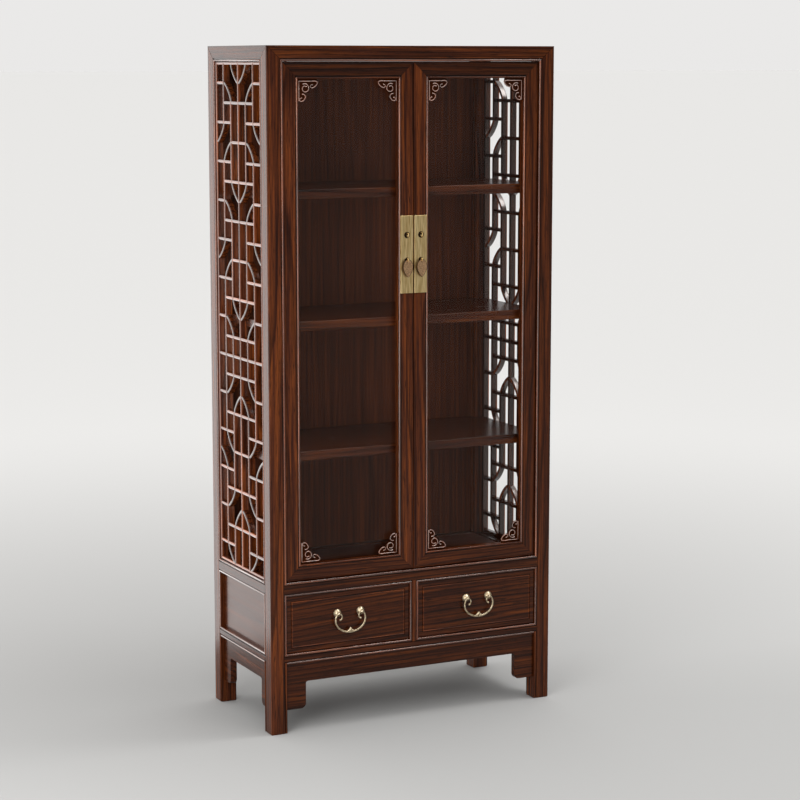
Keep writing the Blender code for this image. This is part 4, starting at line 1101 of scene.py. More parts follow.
def bar_outline(start, end):
    """Outline of a straight bar whose ends lie just inside the bars that it meets."""
    half = sizes().lattice_bar / 2
    end_half = half - sizes().lattice_step
    reach = Vector((half, end_half)) if start.x == end.x else Vector((end_half, half))
    low = Vector((min(start.x, end.x), min(start.y, end.y))) - reach
    high = Vector((max(start.x, end.x), max(start.y, end.y))) + reach
    return [low, (high.x, low.y), high, (low.x, high.y)]


def fret_bars():
    """Every bar of a fret: its outline, how far its faces lie behind the uprights', and its grain."""
    step = sizes().lattice_step
    sweeps = fret_sweeps()
    bars = []
    for column, first, last in upright_runs(sweeps):
        bars.append((bar_outline(fret_place(column, first), fret_place(column, last)), 0.0, "z"))
    for row, first, last in level_runs():
        bars.append((bar_outline(fret_place(first, row), fret_place(last, row)), step, "y"))
    for start, end in sweeps:
        bars.append((sweep_outline(fret_place(*start), fret_place(*end)), 2 * step, "z"))
    return bars


def paint_fret_light(bm, side, sign):
    """Paint light on a fret: painted highlight on its outer faces and the left one's front faces, painted
    shade on the rest of the right one and the left one's inward faces.
    """
    bm.normal_update()
    tint_faces(bm, [face for face in bm.faces if sign * face.normal.x > 0.3], FRET_HIGHLIGHT_TONE)
    if side == "left":
        tint_faces(bm, [face for face in bm.faces if face.normal.y < -0.8], FRET_LIT_EDGE_TONE)
    limit = -0.9 if side == "left" else 0.3
    tint_faces(bm, [face for face in bm.faces if sign * face.normal.x < limit], FRET_SHADE_TONE)


def build_lattices():
    """A fret of upright, level and swept bars in each side."""
    for side, sign in SIDES.items():
        low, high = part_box(f"lattice_{side}")
        back, face = sorted((abs(low.x), abs(high.x)))
        back -= sizes().lattice_reach
        bm = start_piece()
        for number, (outline, inset, along) in enumerate(fret_bars()):
            verts = add_slab(bm, outline, face - back - 2 * inset, sizes().lattice_round, 2)
            bmesh.ops.translate(bm, vec=(0, 0, back + inset), verts=verts)
            bmesh.ops.transform(bm, matrix=FACING[side], verts=verts)
            lay_grain(bm, faces_of(verts), along, CUTS["lattices"] + number)
        paint_fret_light(bm, side, sign)
        finish_piece(f"lattice_{side}_fret", bm, "cabinet", fret_elm(), "elm", f"lattice_{side}")


# Doors

DOOR_BAR = 0.042
# Height of the sunk ground under the bead round the glass
DOOR_GROUND = 0.0238
# Section of a door's bar in mm: across from its outer edge, and forward from its back
DOOR_SECTION = [(0, 0), (34, 0), (34, 5), (41.9, 5), (41.9, 23.8), (34.4, 23.8), (34, 25.4), (33.2, 26)]
DOOR_SECTION += [(4.8, 26), (4.3, 25.1), (3.5, 25.1), (3, 26), (2, 26), (0.6, 25.4), (0, 24)]
# Section of the bead round the glass
DOOR_BEAD = [(36.9, 23), (42, 20), (42, 23), (41.7, 24.6)]
DOOR_BEAD += [(40.9, 25.8), (39.5, 26.3), (38.1, 25.9), (37.2, 25)]
# The wooden pins: their middles lie just past the door's edges
PIVOT_RADIUS = 0.004
PIVOT_LENGTH = 0.016
PIVOT_RISE = 0.004


def add_door_bar(bm, section, outer_middle, inward, bar_length, along, number, shade=1.0):
    """A moulded bar with mitred ends, from the middle of its outer edge at the back."""
    before = set(bm.verts)
    ring = [bm.verts.new((across * MM, forward * MM, 0)) for across, forward in section]
    grown = bmesh.ops.extrude_face_region(bm, geom=[bm.faces.new(ring)])["geom"]
    far_end = {item for item in grown if isinstance(item, bmesh.types.BMVert)}
    verts = fresh(bm.verts, before)
    for vert in verts:
        reach = bar_length / 2 - vert.co.x - MITRE_GAP
        vert.co.z = reach if vert in far_end else -reach
    front = Vector((0, -1, 0))
    axes = Matrix((inward, front, inward.cross(front))).transposed().to_4x4()
    bmesh.ops.transform(bm, matrix=Matrix.Translation(outer_middle) @ axes, verts=verts)
    faces = faces_of(verts)
    lay_grain(bm, faces, along, number, shade=shade)
    # The sunk ground under the bead round the glass gets painted shade
    ground = outer_middle.y - DOOR_GROUND
    sunk = [face for face in faces if abs(face.calc_center_median().y - ground) < MITRE_GAP]
    tint_faces(bm, sunk, QUIRK_SHADE_TONE)


def door_box(side):
    """Lowest and highest corner of a door's frame, without its pivots and brass."""
    hinge_low, hinge_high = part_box(f"door_{side}_hinge_stile")
    meeting_low, meeting_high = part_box(f"door_{side}_meeting_stile")
    low = Vector(min(pair) for pair in zip(hinge_low, meeting_low))
    return low, Vector(max(pair) for pair in zip(hinge_high, meeting_high))


def add_pivot(bm, side, height, way):
    """The pin on which a door turns."""
    joint = next(joint for joint in frame["joints"] if joint["name"] == f"door_{side}_swing")
    centre = Vector((*joint["pos_m"][:2], height + way * PIVOT_RISE))
    size = {"radius1": PIVOT_RADIUS, "radius2": PIVOT_RADIUS, "depth": PIVOT_LENGTH, "segments": 24}
    made = bmesh.ops.create_cone(bm, cap_ends=True, matrix=Matrix.Translation(centre), **size)
    lay_grain(bm, faces_of(made["verts"]), "z", CUTS["pivots"])


def build_doors():
    """Two mitred door frames with their pivots."""
    for side, sign in SIDES.items():
        low, high = door_box(side)
        middle, half = (low + high) / 2, (high - low) / 2
        bars = {
            "hinge_stile": (Vector((sign, 0, 0)), "z"),
            "meeting_stile": (Vector((-sign, 0, 0)), "z"),
            "top_rail": (Vector((0, 0, 1)), "x"),
            "bottom_rail": (Vector((0, 0, -1)), "x"),
        }
        beads = start_piece()
        for number, (label, (outward, along)) in enumerate(bars.items()):
            edge = middle + Vector(outward[axis] * half[axis] for axis in range(3))
            edge.y = high.y
            bar_length = 2 * half[AXES[along]]
            cut = CUTS["doors"] + 7 * number + sign
            bm = start_piece()
            add_door_bar(bm, DOOR_SECTION, edge, -outward, bar_length, along, cut)
            bead = beads if along == "z" else bm
            # The bead round the glass is painted paler, a painted highlight
            add_door_bar(bead, DOOR_BEAD, edge, -outward, bar_length, along, cut, BEAD_HIGHLIGHT_TONE)
            if along == "x":
                add_pivot(bm, side, edge.z, outward.z)
            name = f"door_{side}_{label}"
            finish_piece(f"{name}_moulded", bm, f"door_{side}", outside_elm(), "elm", name)
        finish_piece(f"door_{side}_beads", beads, f"door_{side}", bead_elm(), "elm")


def build_panes():
    """The panes keep the solid model's shape."""
    for side in SIDES:
        dress(f"door_{side}_glass", clear_glass("Window glass"))


# Carved corners

# How far the back of the carving lies behind the door's face
CARVING_BACK = 0.0095
# The share by which a strand thins toward its end
STRAND_TAPER = 0.2
# In mm: height of the strands' and end balls' middles, radii of a ball, and the ground's thickness and edge
STRAND_HEIGHT = 3.4
BALL_HEIGHT = 3.8
BALL_RADII = (2.1, 2.1, 2.4)
GROUND_THICKNESS = 2.2
GROUND_EDGE = 0.4


def spiral(centre, start_radius, end_radius, start, turn, steps):
    """Points on a spiral, with angles in degrees."""
    points = []
    for step in range(steps + 1):
        t = step / steps
        radius = start_radius + (end_radius - start_radius) * t
        bearing = math.radians(start + turn * t)
        points.append((centre[0] + radius * math.cos(bearing), centre[1] + radius * math.sin(bearing)))
    return points


def carving_strands():
    """Strands of one carved corner in mm, along its level leg and up its upright one."""
    level_lobe = [(40, 6.2), (50, 5.6), (56, 7.2), (57.4, 11), (54.3, 16.3)]
    level_lobe += [(48, 21.6), (41.6, 23.4), (37, 20.4), (38.4, 16.2), (42.6, 14.6)]
    upright_lobe = [(14, 38.6), (20, 39.5), (24, 44.5), (22.6, 49.5), (17.6, 55.8)]
    upright_lobe += [(10.6, 57.6), (7, 54.4), (8.4, 50.4), (12.4, 48.6)]
    edge = [(5.4, 57), (5.4, 40), (5.4, 22), (5.4, 6.2), (22, 6.2), (40, 6.2)]
    return [edge, spiral((22.5, 24.4), 12.4, 5.4, -122, 420, 36), level_lobe, upright_lobe]


def carving_ground():
    """Outline of the sunk ground behind the strands in mm."""
    outline = [(-0.5, -0.5), (56, -0.5), (58, 10), (54.6, 16.8), (48.2, 22.4), (41.4, 24.2), (35.6, 25.4)]
    outline += [(33, 33), (26, 37.4), (22, 39), (24.8, 44.6), (23.2, 50), (18, 56.6), (10.6, 58.4)]
    return outline + [(-0.5, 58)]


def set_in_corner(bm, verts, corner, way_x, way_z):
    """Turn vertices drawn in mm to the front and set them in a corner of a pane."""
    bmesh.ops.scale(bm, vec=(way_x * MM, way_z * MM, MM), verts=verts)
    bmesh.ops.transform(bm, matrix=FACING["front"], verts=verts)
    bmesh.ops.translate(bm, vec=corner, verts=verts)


def add_carving(bm, ground, *corner):
    """One carved corner: scrolls that end in balls, painted pale as a painted highlight, on a sunk ground
    painted dark as shade, in a mesh of its own.
    """
    before = set(bm.verts)
    radius = sizes().carving_wire / MM
    for strand in carving_strands():
        swell = [1.0 - STRAND_TAPER * index / len(strand) for index in range(len(strand))]
        add_wire(bm, [(u, v, STRAND_HEIGHT) for u, v in strand], radius, swell)
        add_ball(bm, (*strand[-1], BALL_HEIGHT), BALL_RADII, 10)
    verts = fresh(bm.verts, before)
    set_in_corner(bm, verts, *corner)
    lay_grain(bm, faces_of(verts), "z", CUTS["carvings"], shade=CARVING_HIGHLIGHT_TONE)
    verts = add_slab(ground, carving_ground(), GROUND_THICKNESS, GROUND_EDGE, 1)
    set_in_corner(ground, verts, *corner)
    lay_grain(ground, faces_of(verts), "z", CUTS["carvings"], shade=CARVING_GROUND_SHADE_TONE)


def build_carvings():
    """Carved scrolls in the corners of both doors' panes."""
    for side in SIDES:
        low, high = door_box(side)
        bm, ground = start_piece(), start_piece()
        for way_x in (-1, 1):
            for way_z in (-1, 1):
                edge_x = low.x + DOOR_BAR if way_x > 0 else high.x - DOOR_BAR
                edge_z = low.z + DOOR_BAR if way_z > 0 else high.z - DOOR_BAR
                corner = Vector((edge_x, low.y + CARVING_BACK, edge_z))
                add_carving(bm, ground, corner, way_x, way_z)
        finish_piece(f"door_{side}_carvings", bm, f"door_{side}", carved_elm(), "elm")
        finish_piece(f"door_{side}_carving_grounds", ground, f"door_{side}", ground_elm(), "elm")


# Brass of the doors

PLATE_THICKNESS = 0.0015
PLATE_ROUND = 0.0011
# How far the plates' faces and the eyes' middles lie behind the solid eyes' foremost points
PLATE_FACE = 0.0099
EYE_MIDDLE = 0.0042
# How far the eyes stand from the cabinet's middle, their wire, and the reach of their shanks
EYE_ASIDE = 0.0205
EYE_WIRE = 0.0015
EYE_SHANK = 0.0062
# Each eye's height above the plate's foot, radius of its ring and radius of its washer
EYES = ((0.154, 0.0046, 0.0088), (0.088, 0.0036, 0.007))
# A washer's section: share of its radius, and height
WASHER_SECTION = ((0, 0.0016), (0.6, 0.0014), (0.95, 0.0004), (1, -0.0006))
PENDANT_RISE = EYES[1][0]
# In mm: a pendant's thickness, and the depth and radius of the hole that it hangs by
LEAF_THICKNESS = 1.2
LEAF_HOLE_DROP = 4.4
LEAF_HOLE_RADIUS = 2.3
# Steps from a leaf's edge to its hollow in mm: width and rise
LEAF_STEPS = ((0.3, 0.3), (0.9, 0.0), (0.4, -0.5))
# Radius of the dark rim round a leaf, a painted shadow
LEAF_SHADOW_RIM = 0.0007


def spin_profile(bm, profile, segments=32):
    """Turn a profile of radius and height about the local Z axis; returns its vertices."""
    before = set(bm.verts)
    verts = [bm.verts.new((radius, 0, height)) for radius, height in profile]
    edges = [bm.edges.new(pair) for pair in zip(verts, verts[1:])]
    spun = {"geom": verts + edges, "cent": (0, 0, 0), "axis": (0, 0, 1), "angle": math.tau}
    bmesh.ops.spin(bm, steps=segments, use_merge=True, **spun)
    made = fresh(bm.verts, before)
    bmesh.ops.remove_doubles(bm, verts=made, dist=0.00001)
    return fresh(bm.verts, before)


def wire_eye(bm, place, radius):
    """A ring of wire on a short shank."""
    ring = [(0.0, y, z) for y, z in arc((0, 0), (radius, radius), math.pi / 2, math.pi * 2, 18)]
    points = [(0.0, EYE_SHANK, radius)] + ring
    verts = add_wire(bm, points, EYE_WIRE)
    bmesh.ops.translate(bm, vec=place, verts=verts)


def add_washer(bm, place, radius):
    """A domed washer under an eye."""
    washer = spin_profile(bm, [(part * radius, height) for part, height in WASHER_SECTION], 24)
    bmesh.ops.transform(bm, matrix=FACING["front"], verts=washer)
    bmesh.ops.translate(bm, vec=place + Vector((0, PLATE_FACE - EYE_MIDDLE, 0)), verts=washer)


def build_plates():
    """Brass plates on the meeting stiles, each with two wire eyes on dark washers."""
    for side, sign in SIDES.items():
        name = f"door_{side}_plate"
        low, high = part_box(name)
        face = low.y + PLATE_FACE
        bm, washers = start_piece(), start_piece()
        back = Vector((high.x, face + PLATE_THICKNESS, high.z))
        add_board(bm, (low.x, face, low.z), back, "z", CUTS["plates"], PLATE_ROUND)
        for rise, ring, washer in EYES:
            place = Vector((sign * EYE_ASIDE, low.y + EYE_MIDDLE, low.z + rise))
            wire_eye(bm, place, ring)
            add_washer(washers, place, washer)
        finish_piece(f"{name}_brushed", bm, f"door_{side}", brushed_brass(), "brass", name)
        finish_piece(f"door_{side}_washers", washers, f"door_{side}", blackened_iron_and_shadow(), "brass")


def pendant_leaf():
    """Outline of a pendant's almond leaf in mm, from the top round to the top again."""
    right = [(0, 1.6), (4.6, 0.7), (9, -2.8), (12.6, -9), (14.4, -17)]
    right += [(13.6, -25), (10.8, -32), (6.6, -38.5), (2.4, -43.5), (0, -45)]
    return right + [(-u, v) for u, v in right[-2:0:-1]]


def add_pierced_leaf(bm, outline, hole, thickness):
    """A flat leaf with a hole; its rim and its hollow are struck into the sheet."""
    edges = []
    for loop in (outline, hole):
        verts = [bm.verts.new((*point, 0)) for point in loop]
        edges += [bm.edges.new((verts[index - 1], vert)) for index, vert in enumerate(verts)]
    leaf = bmesh.ops.triangle_fill(bm, use_beauty=True, edges=edges)["geom"]
    leaf = [item for item in leaf if isinstance(item, bmesh.types.BMFace)]
    grown = bmesh.ops.extrude_face_region(bm, geom=leaf)["geom"]
    raised = [item for item in grown if isinstance(item, bmesh.types.BMVert)]
    bmesh.ops.translate(bm, vec=(0, 0, thickness), verts=raised)
    front = [item for item in grown if isinstance(item, bmesh.types.BMFace)]
    bmesh.ops.recalc_face_normals(bm, faces=bm.faces)
    bm.normal_update()
    for width, rise in LEAF_STEPS:
        inset = {"thickness": width, "depth": rise, "use_boundary": True, "use_even_offset": True}
        bmesh.ops.inset_region(bm, faces=front, **inset)


def build_pendants():
    """Leaf-shaped drops that hang in the lower eyes, each with a dark rim that paints a shadow round its
    edge.
    """
    hole = arc((0, -LEAF_HOLE_DROP), (LEAF_HOLE_RADIUS, LEAF_HOLE_RADIUS), 0, math.tau, 16)[:-1]
    leaf = pendant_leaf()
    for side, sign in SIDES.items():
        node = f"pendant_{side}"
        low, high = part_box(node)
        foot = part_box(f"door_{side}_plate")[0].z
        hang = Vector((sign * EYE_ASIDE, (low.y + high.y) / 2, foot + PENDANT_RISE))
        bm = start_piece()
        add_pierced_leaf(bm, leaf, hole, LEAF_THICKNESS)
        bmesh.ops.translate(bm, vec=(0, 0, -LEAF_THICKNESS / 2), verts=bm.verts)
        bmesh.ops.scale(bm, vec=(MM, MM, MM), verts=bm.verts)
        bmesh.ops.transform(bm, matrix=FACING["front"], verts=bm.verts)
        bmesh.ops.translate(bm, vec=hang, verts=bm.verts)
        finish_piece(f"{node}_leaf", bm, node, brown_bronze(), "brass", node)
        # The dark rim is a painted shadow round the leaf
        bm = start_piece()
        rim = [(u * MM, -LEAF_THICKNESS / 2 * MM, v * MM) for u, v in leaf + leaf[:1]]
        add_wire(bm, rim, LEAF_SHADOW_RIM)
        bmesh.ops.translate(bm, vec=hang, verts=bm.verts)
        finish_piece(f"{node}_rim", bm, node, blackened_iron_and_shadow(), "brass")


# Drawers

# How far a drawer front's rim lies behind its field
DRAWER_RIM_DROP = 0.0015
DRAWER_GRAIN_LEAN = 0.3
# Steps of a drawer front from its edge to its field: name, width and rise
DRAWER_STEPS = (
    ("rim", 0.0105, 0.0),
    ("groove wall", 0.0004, -0.0016),
    ("groove", 0.0016, 0.0),
    ("bead wall", 0.0006, 0.0030),
    ("bead crown", 0.0010, 0.0006),
    ("bead fall", 0.0010, -0.0006),
    ("field edge", 0.0006, -0.0004),
)
# In mm: a cap's section as radius and height, and the eyebolt's head on it
CAP_PROFILE = [(0, 9.4), (3, 9), (6, 7.6), (8.4, 5.4), (10.2, 2.8), (11.3, 1.2), (11.5, 0)]
EYEBOLT_HEIGHT = 9.8
EYEBOLT_RADII = (4.2, 4.6, 4.6)
# In mm: a bail's reach from its middle to its caps and past them, its drop, its curled ends and their hooks
PULL_HALF = 34
BAIL_OVERHANG = 9.4
SHOULDER_DROP = 18.6
BAIL_DROP = 52
CURL_RADIUS = 9.5
HOOK_RADII = (5, 7.5)
# The bail's thickness at its middle and how much it thins, as shares of its radius
BAIL_SWELL = 1.18
BAIL_TAPER = 0.42
# The balls at a bail's ends, and the bud's leaves: place above the lowest point, radii
BAIL_TIP = (0.0029, 0.0029, 0.0029)
BUD_LEAF = ((0, 0, 0.0058), (0.0052, 0.0042, 0.0064))
BUD_SIDE_LEAF = ((0.0055, 0, 0.003), (0.0045, 0.0036, 0.0036))


def build_drawer_fronts():
    """Drawer fronts with a raised field inside a thin bead."""
    for number, side in enumerate(SIDES):
        name = f"drawer_{side}_front"
        low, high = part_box(name)
        low.y += DRAWER_RIM_DROP
        cut = CUTS["drawers"] + 5 * number
        bm = start_piece()
        add_board(bm, low, high, "x", cut, sizes().rail_round)
        face = min(bm.faces, key=lambda face: (round(face.calc_center_median().y, 5), -face.calc_area()))
        rings = {}
        for label, thickness, depth in DRAWER_STEPS:
            inset = {"thickness": thickness, "depth": depth, "use_even_offset": True}
            rings[label] = bmesh.ops.inset_individual(bm, faces=[face], **inset)["faces"]
        lay_grain(bm, bm.faces, "x", cut, DRAWER_GRAIN_LEAN)
        # Painted shade in the groove
        tint_faces(bm, rings["groove"], QUIRK_SHADE_TONE)
        # Painted highlight: the bead's faces are painted paler
        for label in ("bead wall", "bead crown", "bead fall"):
            tint_faces(bm, rings[label], LEVEL_TONE * DRAWER_BEAD_HIGHLIGHT_TONE)
        finish_piece(f"{name}_fielded", bm, f"drawer_{side}", outside_elm(), "elm", name)


def build_caps():
    """Domed brass caps with the eyebolts that hold the bails."""
    for side in SIDES:
        for place in SIDES:
            name = f"drawer_{side}_cap_{place}"
            low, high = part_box(name)
            bm = start_piece()
            spin_profile(bm, [(radius * MM, height * MM) for radius, height in CAP_PROFILE])
            add_ball(bm, (0, 0, EYEBOLT_HEIGHT * MM), [radius * MM for radius in EYEBOLT_RADII], 16)
            bmesh.ops.transform(bm, matrix=FACING["front"], verts=bm.verts)
            seat = Vector(((low.x + high.x) / 2, high.y, (low.z + high.z) / 2))
            bmesh.ops.translate(bm, vec=seat, verts=bm.verts)
            finish_piece(f"{name}_domed", bm, f"drawer_{side}", cast_brass(), "brass", name)


def bail_half():
    """Right half of a bail's middle line in mm from its cap, from its lowest point round to its curl."""
    down = -SHOULDER_DROP
    sweep = (PULL_HALF + BAIL_OVERHANG, BAIL_DROP - SHOULDER_DROP)
    lower = arc((-PULL_HALF, down), sweep, -math.pi / 2, 0, 14)
    shoulder = arc((0, down), (BAIL_OVERHANG, SHOULDER_DROP), 0, math.pi / 2, 10)
    curl = arc((0, -CURL_RADIUS), (CURL_RADIUS, CURL_RADIUS), math.pi / 2, math.pi, 8)
    hook = arc((HOOK_RADII[0] - CURL_RADIUS, -CURL_RADIUS), HOOK_RADII, math.pi, math.pi * 1.5, 6)
    return lower + shoulder[1:] + curl[1:] + hook[1:]


def add_bud(bm, lowest):
    """The leaf bud at a bail's lowest point."""
    place, radii = BUD_LEAF
    add_ball(bm, lowest + Vector(place), radii, 16)
    (aside, _, rise), radii = BUD_SIDE_LEAF
    for way in (-1, 1):
        add_ball(bm, lowest + Vector((way * aside, 0, rise)), radii, 14)


def build_bails():
    """Bails with curled ends and a leaf bud at the lowest point."""
    right = [((PULL_HALF + u) * MM, 0.0, v * MM) for u, v in bail_half()]
    line = [(-x, y, z) for x, y, z in right[:0:-1]] + right
    middle = len(line) // 2
    swell = [BAIL_SWELL - BAIL_TAPER * abs(index - middle) / middle for index in range(len(line))]
    for side in SIDES:
        node = f"bail_{side}"
        low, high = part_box(node)
        cap_low, cap_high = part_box(f"drawer_{side}_cap_left")
        centre = Vector(((low.x + high.x) / 2, (low.y + high.y) / 2, (cap_low.z + cap_high.z) / 2))
        bm = start_piece()
        add_wire(bm, line, sizes().bail_radius, swell, 6)
        for end in (line[0], line[-1]):
            add_ball(bm, end, BAIL_TIP, 14)
        add_bud(bm, Vector(right[0]))
        bmesh.ops.translate(bm, vec=centre, verts=bm.verts)
        finish_piece(f"{node}_cast", bm, node, cast_brass(), "brass", node)


# Stage

FLOOR_HALF = 400.0
# Each light's place, what it faces and its width and height
LIGHTS = {
    "window_light": ((-2.5, -2.2, 1.25), (0, -0.2, 1.0), (1.6, 2.3)),
    "lamp": ((1.4, -0.5, 3.2), (0.3, -0.2, 0.6), (0.9, 0.9)),
    "side_light": ((-0.85, 0.62, 0.95), (-0.42, -0.1, 0.95), (0.9, 1.9)),
    "fill_light": ((1.5, -4.5, 3.2), (0, 0, 0.8), (2.5, 1.6)),
}


def add_light(name, watts, only=None):
    """A soft area light, itself out of the picture; it may light only some pieces."""
    place, target, size = LIGHTS[name]
    lamp = bpy.data.lights.new(name, "AREA")
    lamp.shape = "RECTANGLE"
    lamp.size, lamp.size_y = size
    lamp.energy = watts
    holder = bpy.data.objects.new(name, lamp)
    holder.location = place
    holder.rotation_euler = (Vector(target) - Vector(place)).to_track_quat("-Z", "Y").to_euler()
    holder.visible_camera = False
    if only:
        holder.light_linking.receiver_collection = only
    bpy.context.scene.collection.objects.link(holder)


def cabinet_pieces():
    """A collection of all the cabinet's pieces, without the floor."""
    pieces = bpy.data.collections.new("Cabinet pieces")
    for piece in bpy.context.scene.objects:
        if piece.type == "MESH" and piece.name != "floor":
            pieces.objects.link(piece)
    return pieces


def floor_paint():
    """Matt pale paint with no shine, paler away from the cabinet, so that the floor has no far edge."""
    material = new_material("Matt floor paint")
    place = add_node(material, "ShaderNodeTexCoord").outputs["Object"]
    away = add_node(material, "ShaderNodeVectorMath", {0: place}, operation="LENGTH")
    span = {"Value": away.outputs["Value"], "From Min": 0.2, "From Max": 5.0}
    fade = add_node(material, "ShaderNodeMapRange", span, interpolation_type="SMOOTHSTEP").outputs["Result"]
    # Toward the room's dark corner the floor keeps its tone, as the fronts mirror it
    dark = (*stage().dark_way[:2], 0.0)
    heading = add_node(material, "ShaderNodeVectorMath", {0: place}, operation="NORMALIZE").outputs[0]
    aim = add_node(material, "ShaderNodeVectorMath", {0: heading, 1: dark}, operation="DOT_PRODUCT")
    span = {"Value": aim.outputs["Value"], "From Min": 0.45, "From Max": 0.8, "To Min": 1.0, "To Max": 0.0}
    lit = add_node(material, "ShaderNodeMapRange", span).outputs["Result"]
    fade = add_node(material, "ShaderNodeMath", {0: fade, 1: lit}, operation="MULTIPLY").outputs[0]
    mixed = {0: fade, 6: (*colours().floor, 1.0), 7: (*colours().far_floor, 1.0)}
    pale = add_node(material, "ShaderNodeMix", mixed, data_type="RGBA").outputs[2]
    return close_material(material, Base_Color=pale, Roughness=0.9)


def add_floor():
    """A wide pale floor."""
    bm = bmesh.new()
    bmesh.ops.create_grid(bm, x_segments=1, y_segments=1, size=FLOOR_HALF)
    mesh = bpy.data.meshes.new("floor")
    bm.to_mesh(mesh)
    bm.free()
    mesh.materials.append(floor_paint())
    floor = bpy.data.objects.new("floor", mesh)
    bpy.context.scene.collection.objects.link(floor)


def add_room_light():
    """Light from all round: bright from above, softer from the sides, weak from one dark corner."""
    settings = stage()
    world = bpy.data.worlds.new("Room light")
    world.use_nodes = True
    world.node_tree.nodes.clear()
    way = add_node(world, "ShaderNodeTexCoord").outputs["Generated"]
    parts = add_node(world, "ShaderNodeSeparateXYZ", {"Vector": way}).outputs
    dark = tuple(Vector(settings.dark_way).normalized())
    aim = add_node(world, "ShaderNodeVectorMath", {0: way, 1: dark}, operation="DOT_PRODUCT")
    around = {"Value": aim.outputs["Value"], "From Min": 0.72, "From Max": 0.93}
    around.update({"To Min": settings.room_round, "To Max": settings.room_front})
    around = add_node(world, "ShaderNodeMapRange", around).outputs["Result"]
    above = {"Value": parts["Z"], "From Min": 0.45, "From Max": 0.75, "To Max": settings.room_top}
    above = add_node(world, "ShaderNodeMapRange", above).outputs["Result"]
    light = add_node(world, "ShaderNodeMath", {0: around, 1: above}, operation="ADD").outputs[0]
    backdrop = {"Value": parts["Z"], "From Min": 0.0, "From Max": 0.08}
    backdrop.update({"To Min": settings.horizon, "To Max": settings.backdrop})
    backdrop = add_node(world, "ShaderNodeMapRange", backdrop).outputs["Result"]
    seen = add_node(world, "ShaderNodeLightPath").outputs["Is Camera Ray"]
    glow = add_node(world, "ShaderNodeMix", {0: seen, 2: light, 3: backdrop}).outputs[0]
    sky = add_node(world, "ShaderNodeBackground", {"Color": ROOM_TINT, "Strength": glow})
    add_node(world, "ShaderNodeOutputWorld", {"Surface": sky.outputs["Background"]})
    bpy.context.scene.world = world


def add_camera():
    """The camera, at the photograph's viewing angle."""
    settings = stage()
    camera = bpy.data.cameras.new("camera")
    camera.lens = settings.camera_lens
    camera.sensor_width = 36.0
    holder = bpy.data.objects.new("camera", camera)
    holder.location = settings.camera_place
    holder.rotation_euler = (math.pi / 2 - settings.camera_tilt, 0, -settings.camera_turn)
    bpy.context.scene.collection.objects.link(holder)
    bpy.context.scene.camera = holder


def build_stage():
    """A pale floor, soft lights from the left, above, behind and in front, and the camera."""
    settings = stage()
    add_floor()
    add_light("window_light", settings.key_power)
    add_light("lamp", settings.lamp_power)
    add_light("side_light", settings.side_power, cabinet_pieces())
    add_light("fill_light", settings.fill_power)
    add_room_light()
    add_camera()
    bpy.context.scene.view_settings.view_transform = "Standard"


# Operators, panel and registration


class CABINET_OT_posts(bpy.types.Operator):
    """Build the four posts"""

    bl_idname = "cabinet.posts"
    bl_label = "Posts"

    def execute(self, context):
        build_posts()
        return {"FINISHED"}


class CABINET_OT_rails(bpy.types.Operator):
    """Build the rails and the drawer divider"""

    bl_idname = "cabinet.rails"
    bl_label = "Rails"

    def execute(self, context):
        build_rails()
        return {"FINISHED"}


class CABINET_OT_beads(bpy.types.Operator):
    """Build the raised beads round the openings"""

    bl_idname = "cabinet.beads"
    bl_label = "Beads"

    def execute(self, context):
        build_beads()
        return {"FINISHED"}


class CABINET_OT_panels(bpy.types.Operator):
    """Finish the plain panels and drawer boxes"""

    bl_idname = "cabinet.panels"
    bl_label = "Panels"

    def execute(self, context):
        build_panels()
        return {"FINISHED"}


class CABINET_OT_shelves(bpy.types.Operator):
    """Build the shelves"""

    bl_idname = "cabinet.shelves"
    bl_label = "Shelves"

    def execute(self, context):
        build_shelves()
        return {"FINISHED"}


class CABINET_OT_aprons(bpy.types.Operator):
    """Build the aprons"""

    bl_idname = "cabinet.aprons"
    bl_label = "Aprons"

    def execute(self, context):
        build_aprons()
        return {"FINISHED"}


class CABINET_OT_lattices(bpy.types.Operator):
    """Build the fret lattices of the sides"""

    bl_idname = "cabinet.lattices"
    bl_label = "Lattices"

    def execute(self, context):
        build_lattices()
        return {"FINISHED"}


class CABINET_OT_doors(bpy.types.Operator):
    """Build the door frames and finish their panes"""

    bl_idname = "cabinet.doors"
    bl_label = "Doors"

    def execute(self, context):
        build_doors()
        build_panes()
        return {"FINISHED"}


class CABINET_OT_carvings(bpy.types.Operator):
    """Build the carved corners of the doors"""

    bl_idname = "cabinet.carvings"
    bl_label = "Carved corners"

    def execute(self, context):
        build_carvings()
        return {"FINISHED"}


class CABINET_OT_door_brass(bpy.types.Operator):
    """Build the doors' brass plates and pendants"""

    bl_idname = "cabinet.door_brass"
    bl_label = "Door brass"

    def execute(self, context):
        build_plates()
        build_pendants()
        return {"FINISHED"}


class CABINET_OT_drawer_fronts(bpy.types.Operator):
    """Build the drawer fronts"""

    bl_idname = "cabinet.drawer_fronts"
    bl_label = "Drawer fronts"

    def execute(self, context):
        build_drawer_fronts()
        return {"FINISHED"}


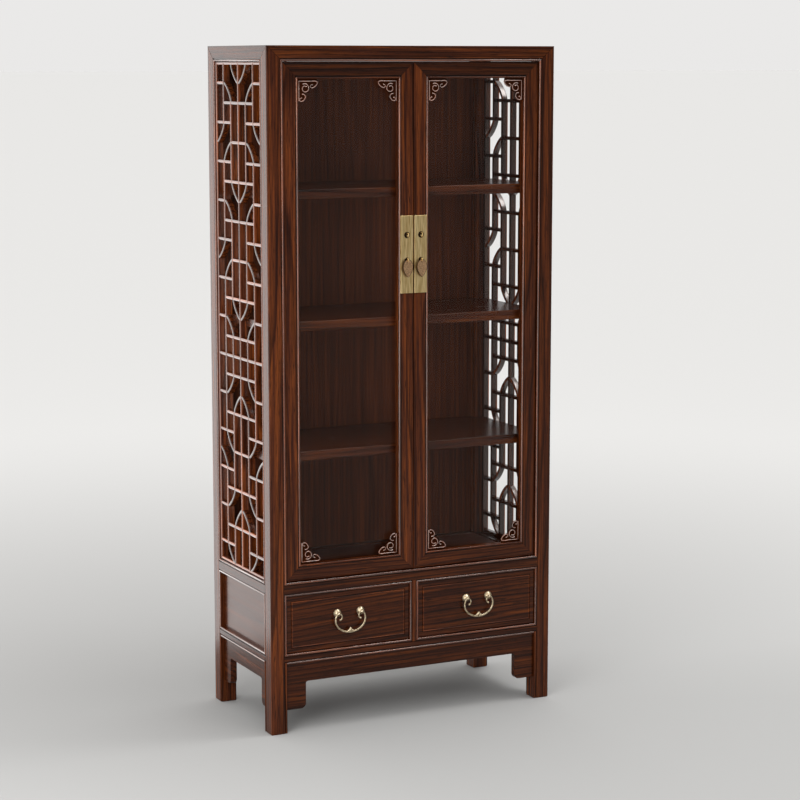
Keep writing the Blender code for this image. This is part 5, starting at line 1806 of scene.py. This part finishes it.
class CABINET_OT_pulls(bpy.types.Operator):
    """Build the drawers' caps and bails"""

    bl_idname = "cabinet.pulls"
    bl_label = "Drawer pulls"

    def execute(self, context):
        build_caps()
        build_bails()
        return {"FINISHED"}


class CABINET_OT_stage(bpy.types.Operator):
    """Build the floor, the lights and the camera"""

    bl_idname = "cabinet.stage"
    bl_label = "Stage"

    def execute(self, context):
        build_stage()
        return {"FINISHED"}


OPERATORS = (
    CABINET_OT_posts,
    CABINET_OT_rails,
    CABINET_OT_beads,
    CABINET_OT_panels,
    CABINET_OT_shelves,
    CABINET_OT_aprons,
    CABINET_OT_lattices,
    CABINET_OT_doors,
    CABINET_OT_carvings,
    CABINET_OT_door_brass,
    CABINET_OT_drawer_fronts,
    CABINET_OT_pulls,
    CABINET_OT_stage,
)


class CABINET_PT_panel(bpy.types.Panel):
    """Sizes, colours and steps of the cabinet"""

    bl_idname = "CABINET_PT_panel"
    bl_label = "Display Cabinet"
    bl_space_type = "VIEW_3D"
    bl_region_type = "UI"
    bl_category = "Cabinet"

    def draw(self, context):
        scene = context.scene
        for group in (scene.cabinet_sizes, scene.cabinet_colours, scene.cabinet_stage):
            box = self.layout.box()
            for key in group.bl_rna.properties.keys():
                if key not in ("rna_type", "name"):
                    box.prop(group, key)
        for operator in OPERATORS:
            self.layout.operator(operator.bl_idname)


GROUPS = {"cabinet_sizes": CabinetSizes, "cabinet_colours": CabinetColours, "cabinet_stage": StageSettings}
CLASSES = (*GROUPS.values(), *OPERATORS, CABINET_PT_panel)


def register():
    """Make the groups, operators and panel known to Blender."""
    for cls in CLASSES:
        bpy.utils.register_class(cls)
    for key, group in GROUPS.items():
        setattr(bpy.types.Scene, key, PointerProperty(type=group))


def unregister():
    """Take the groups, operators and panel away again."""
    for key in GROUPS:
        delattr(bpy.types.Scene, key)
    for cls in reversed(CLASSES):
        bpy.utils.unregister_class(cls)


def main():
    """Build every piece in order."""
    register()
    for operator in OPERATORS:
        step = operator.bl_idname.split(".")[1]
        getattr(bpy.ops.cabinet, step)()


if __name__ == "__main__":
    main()
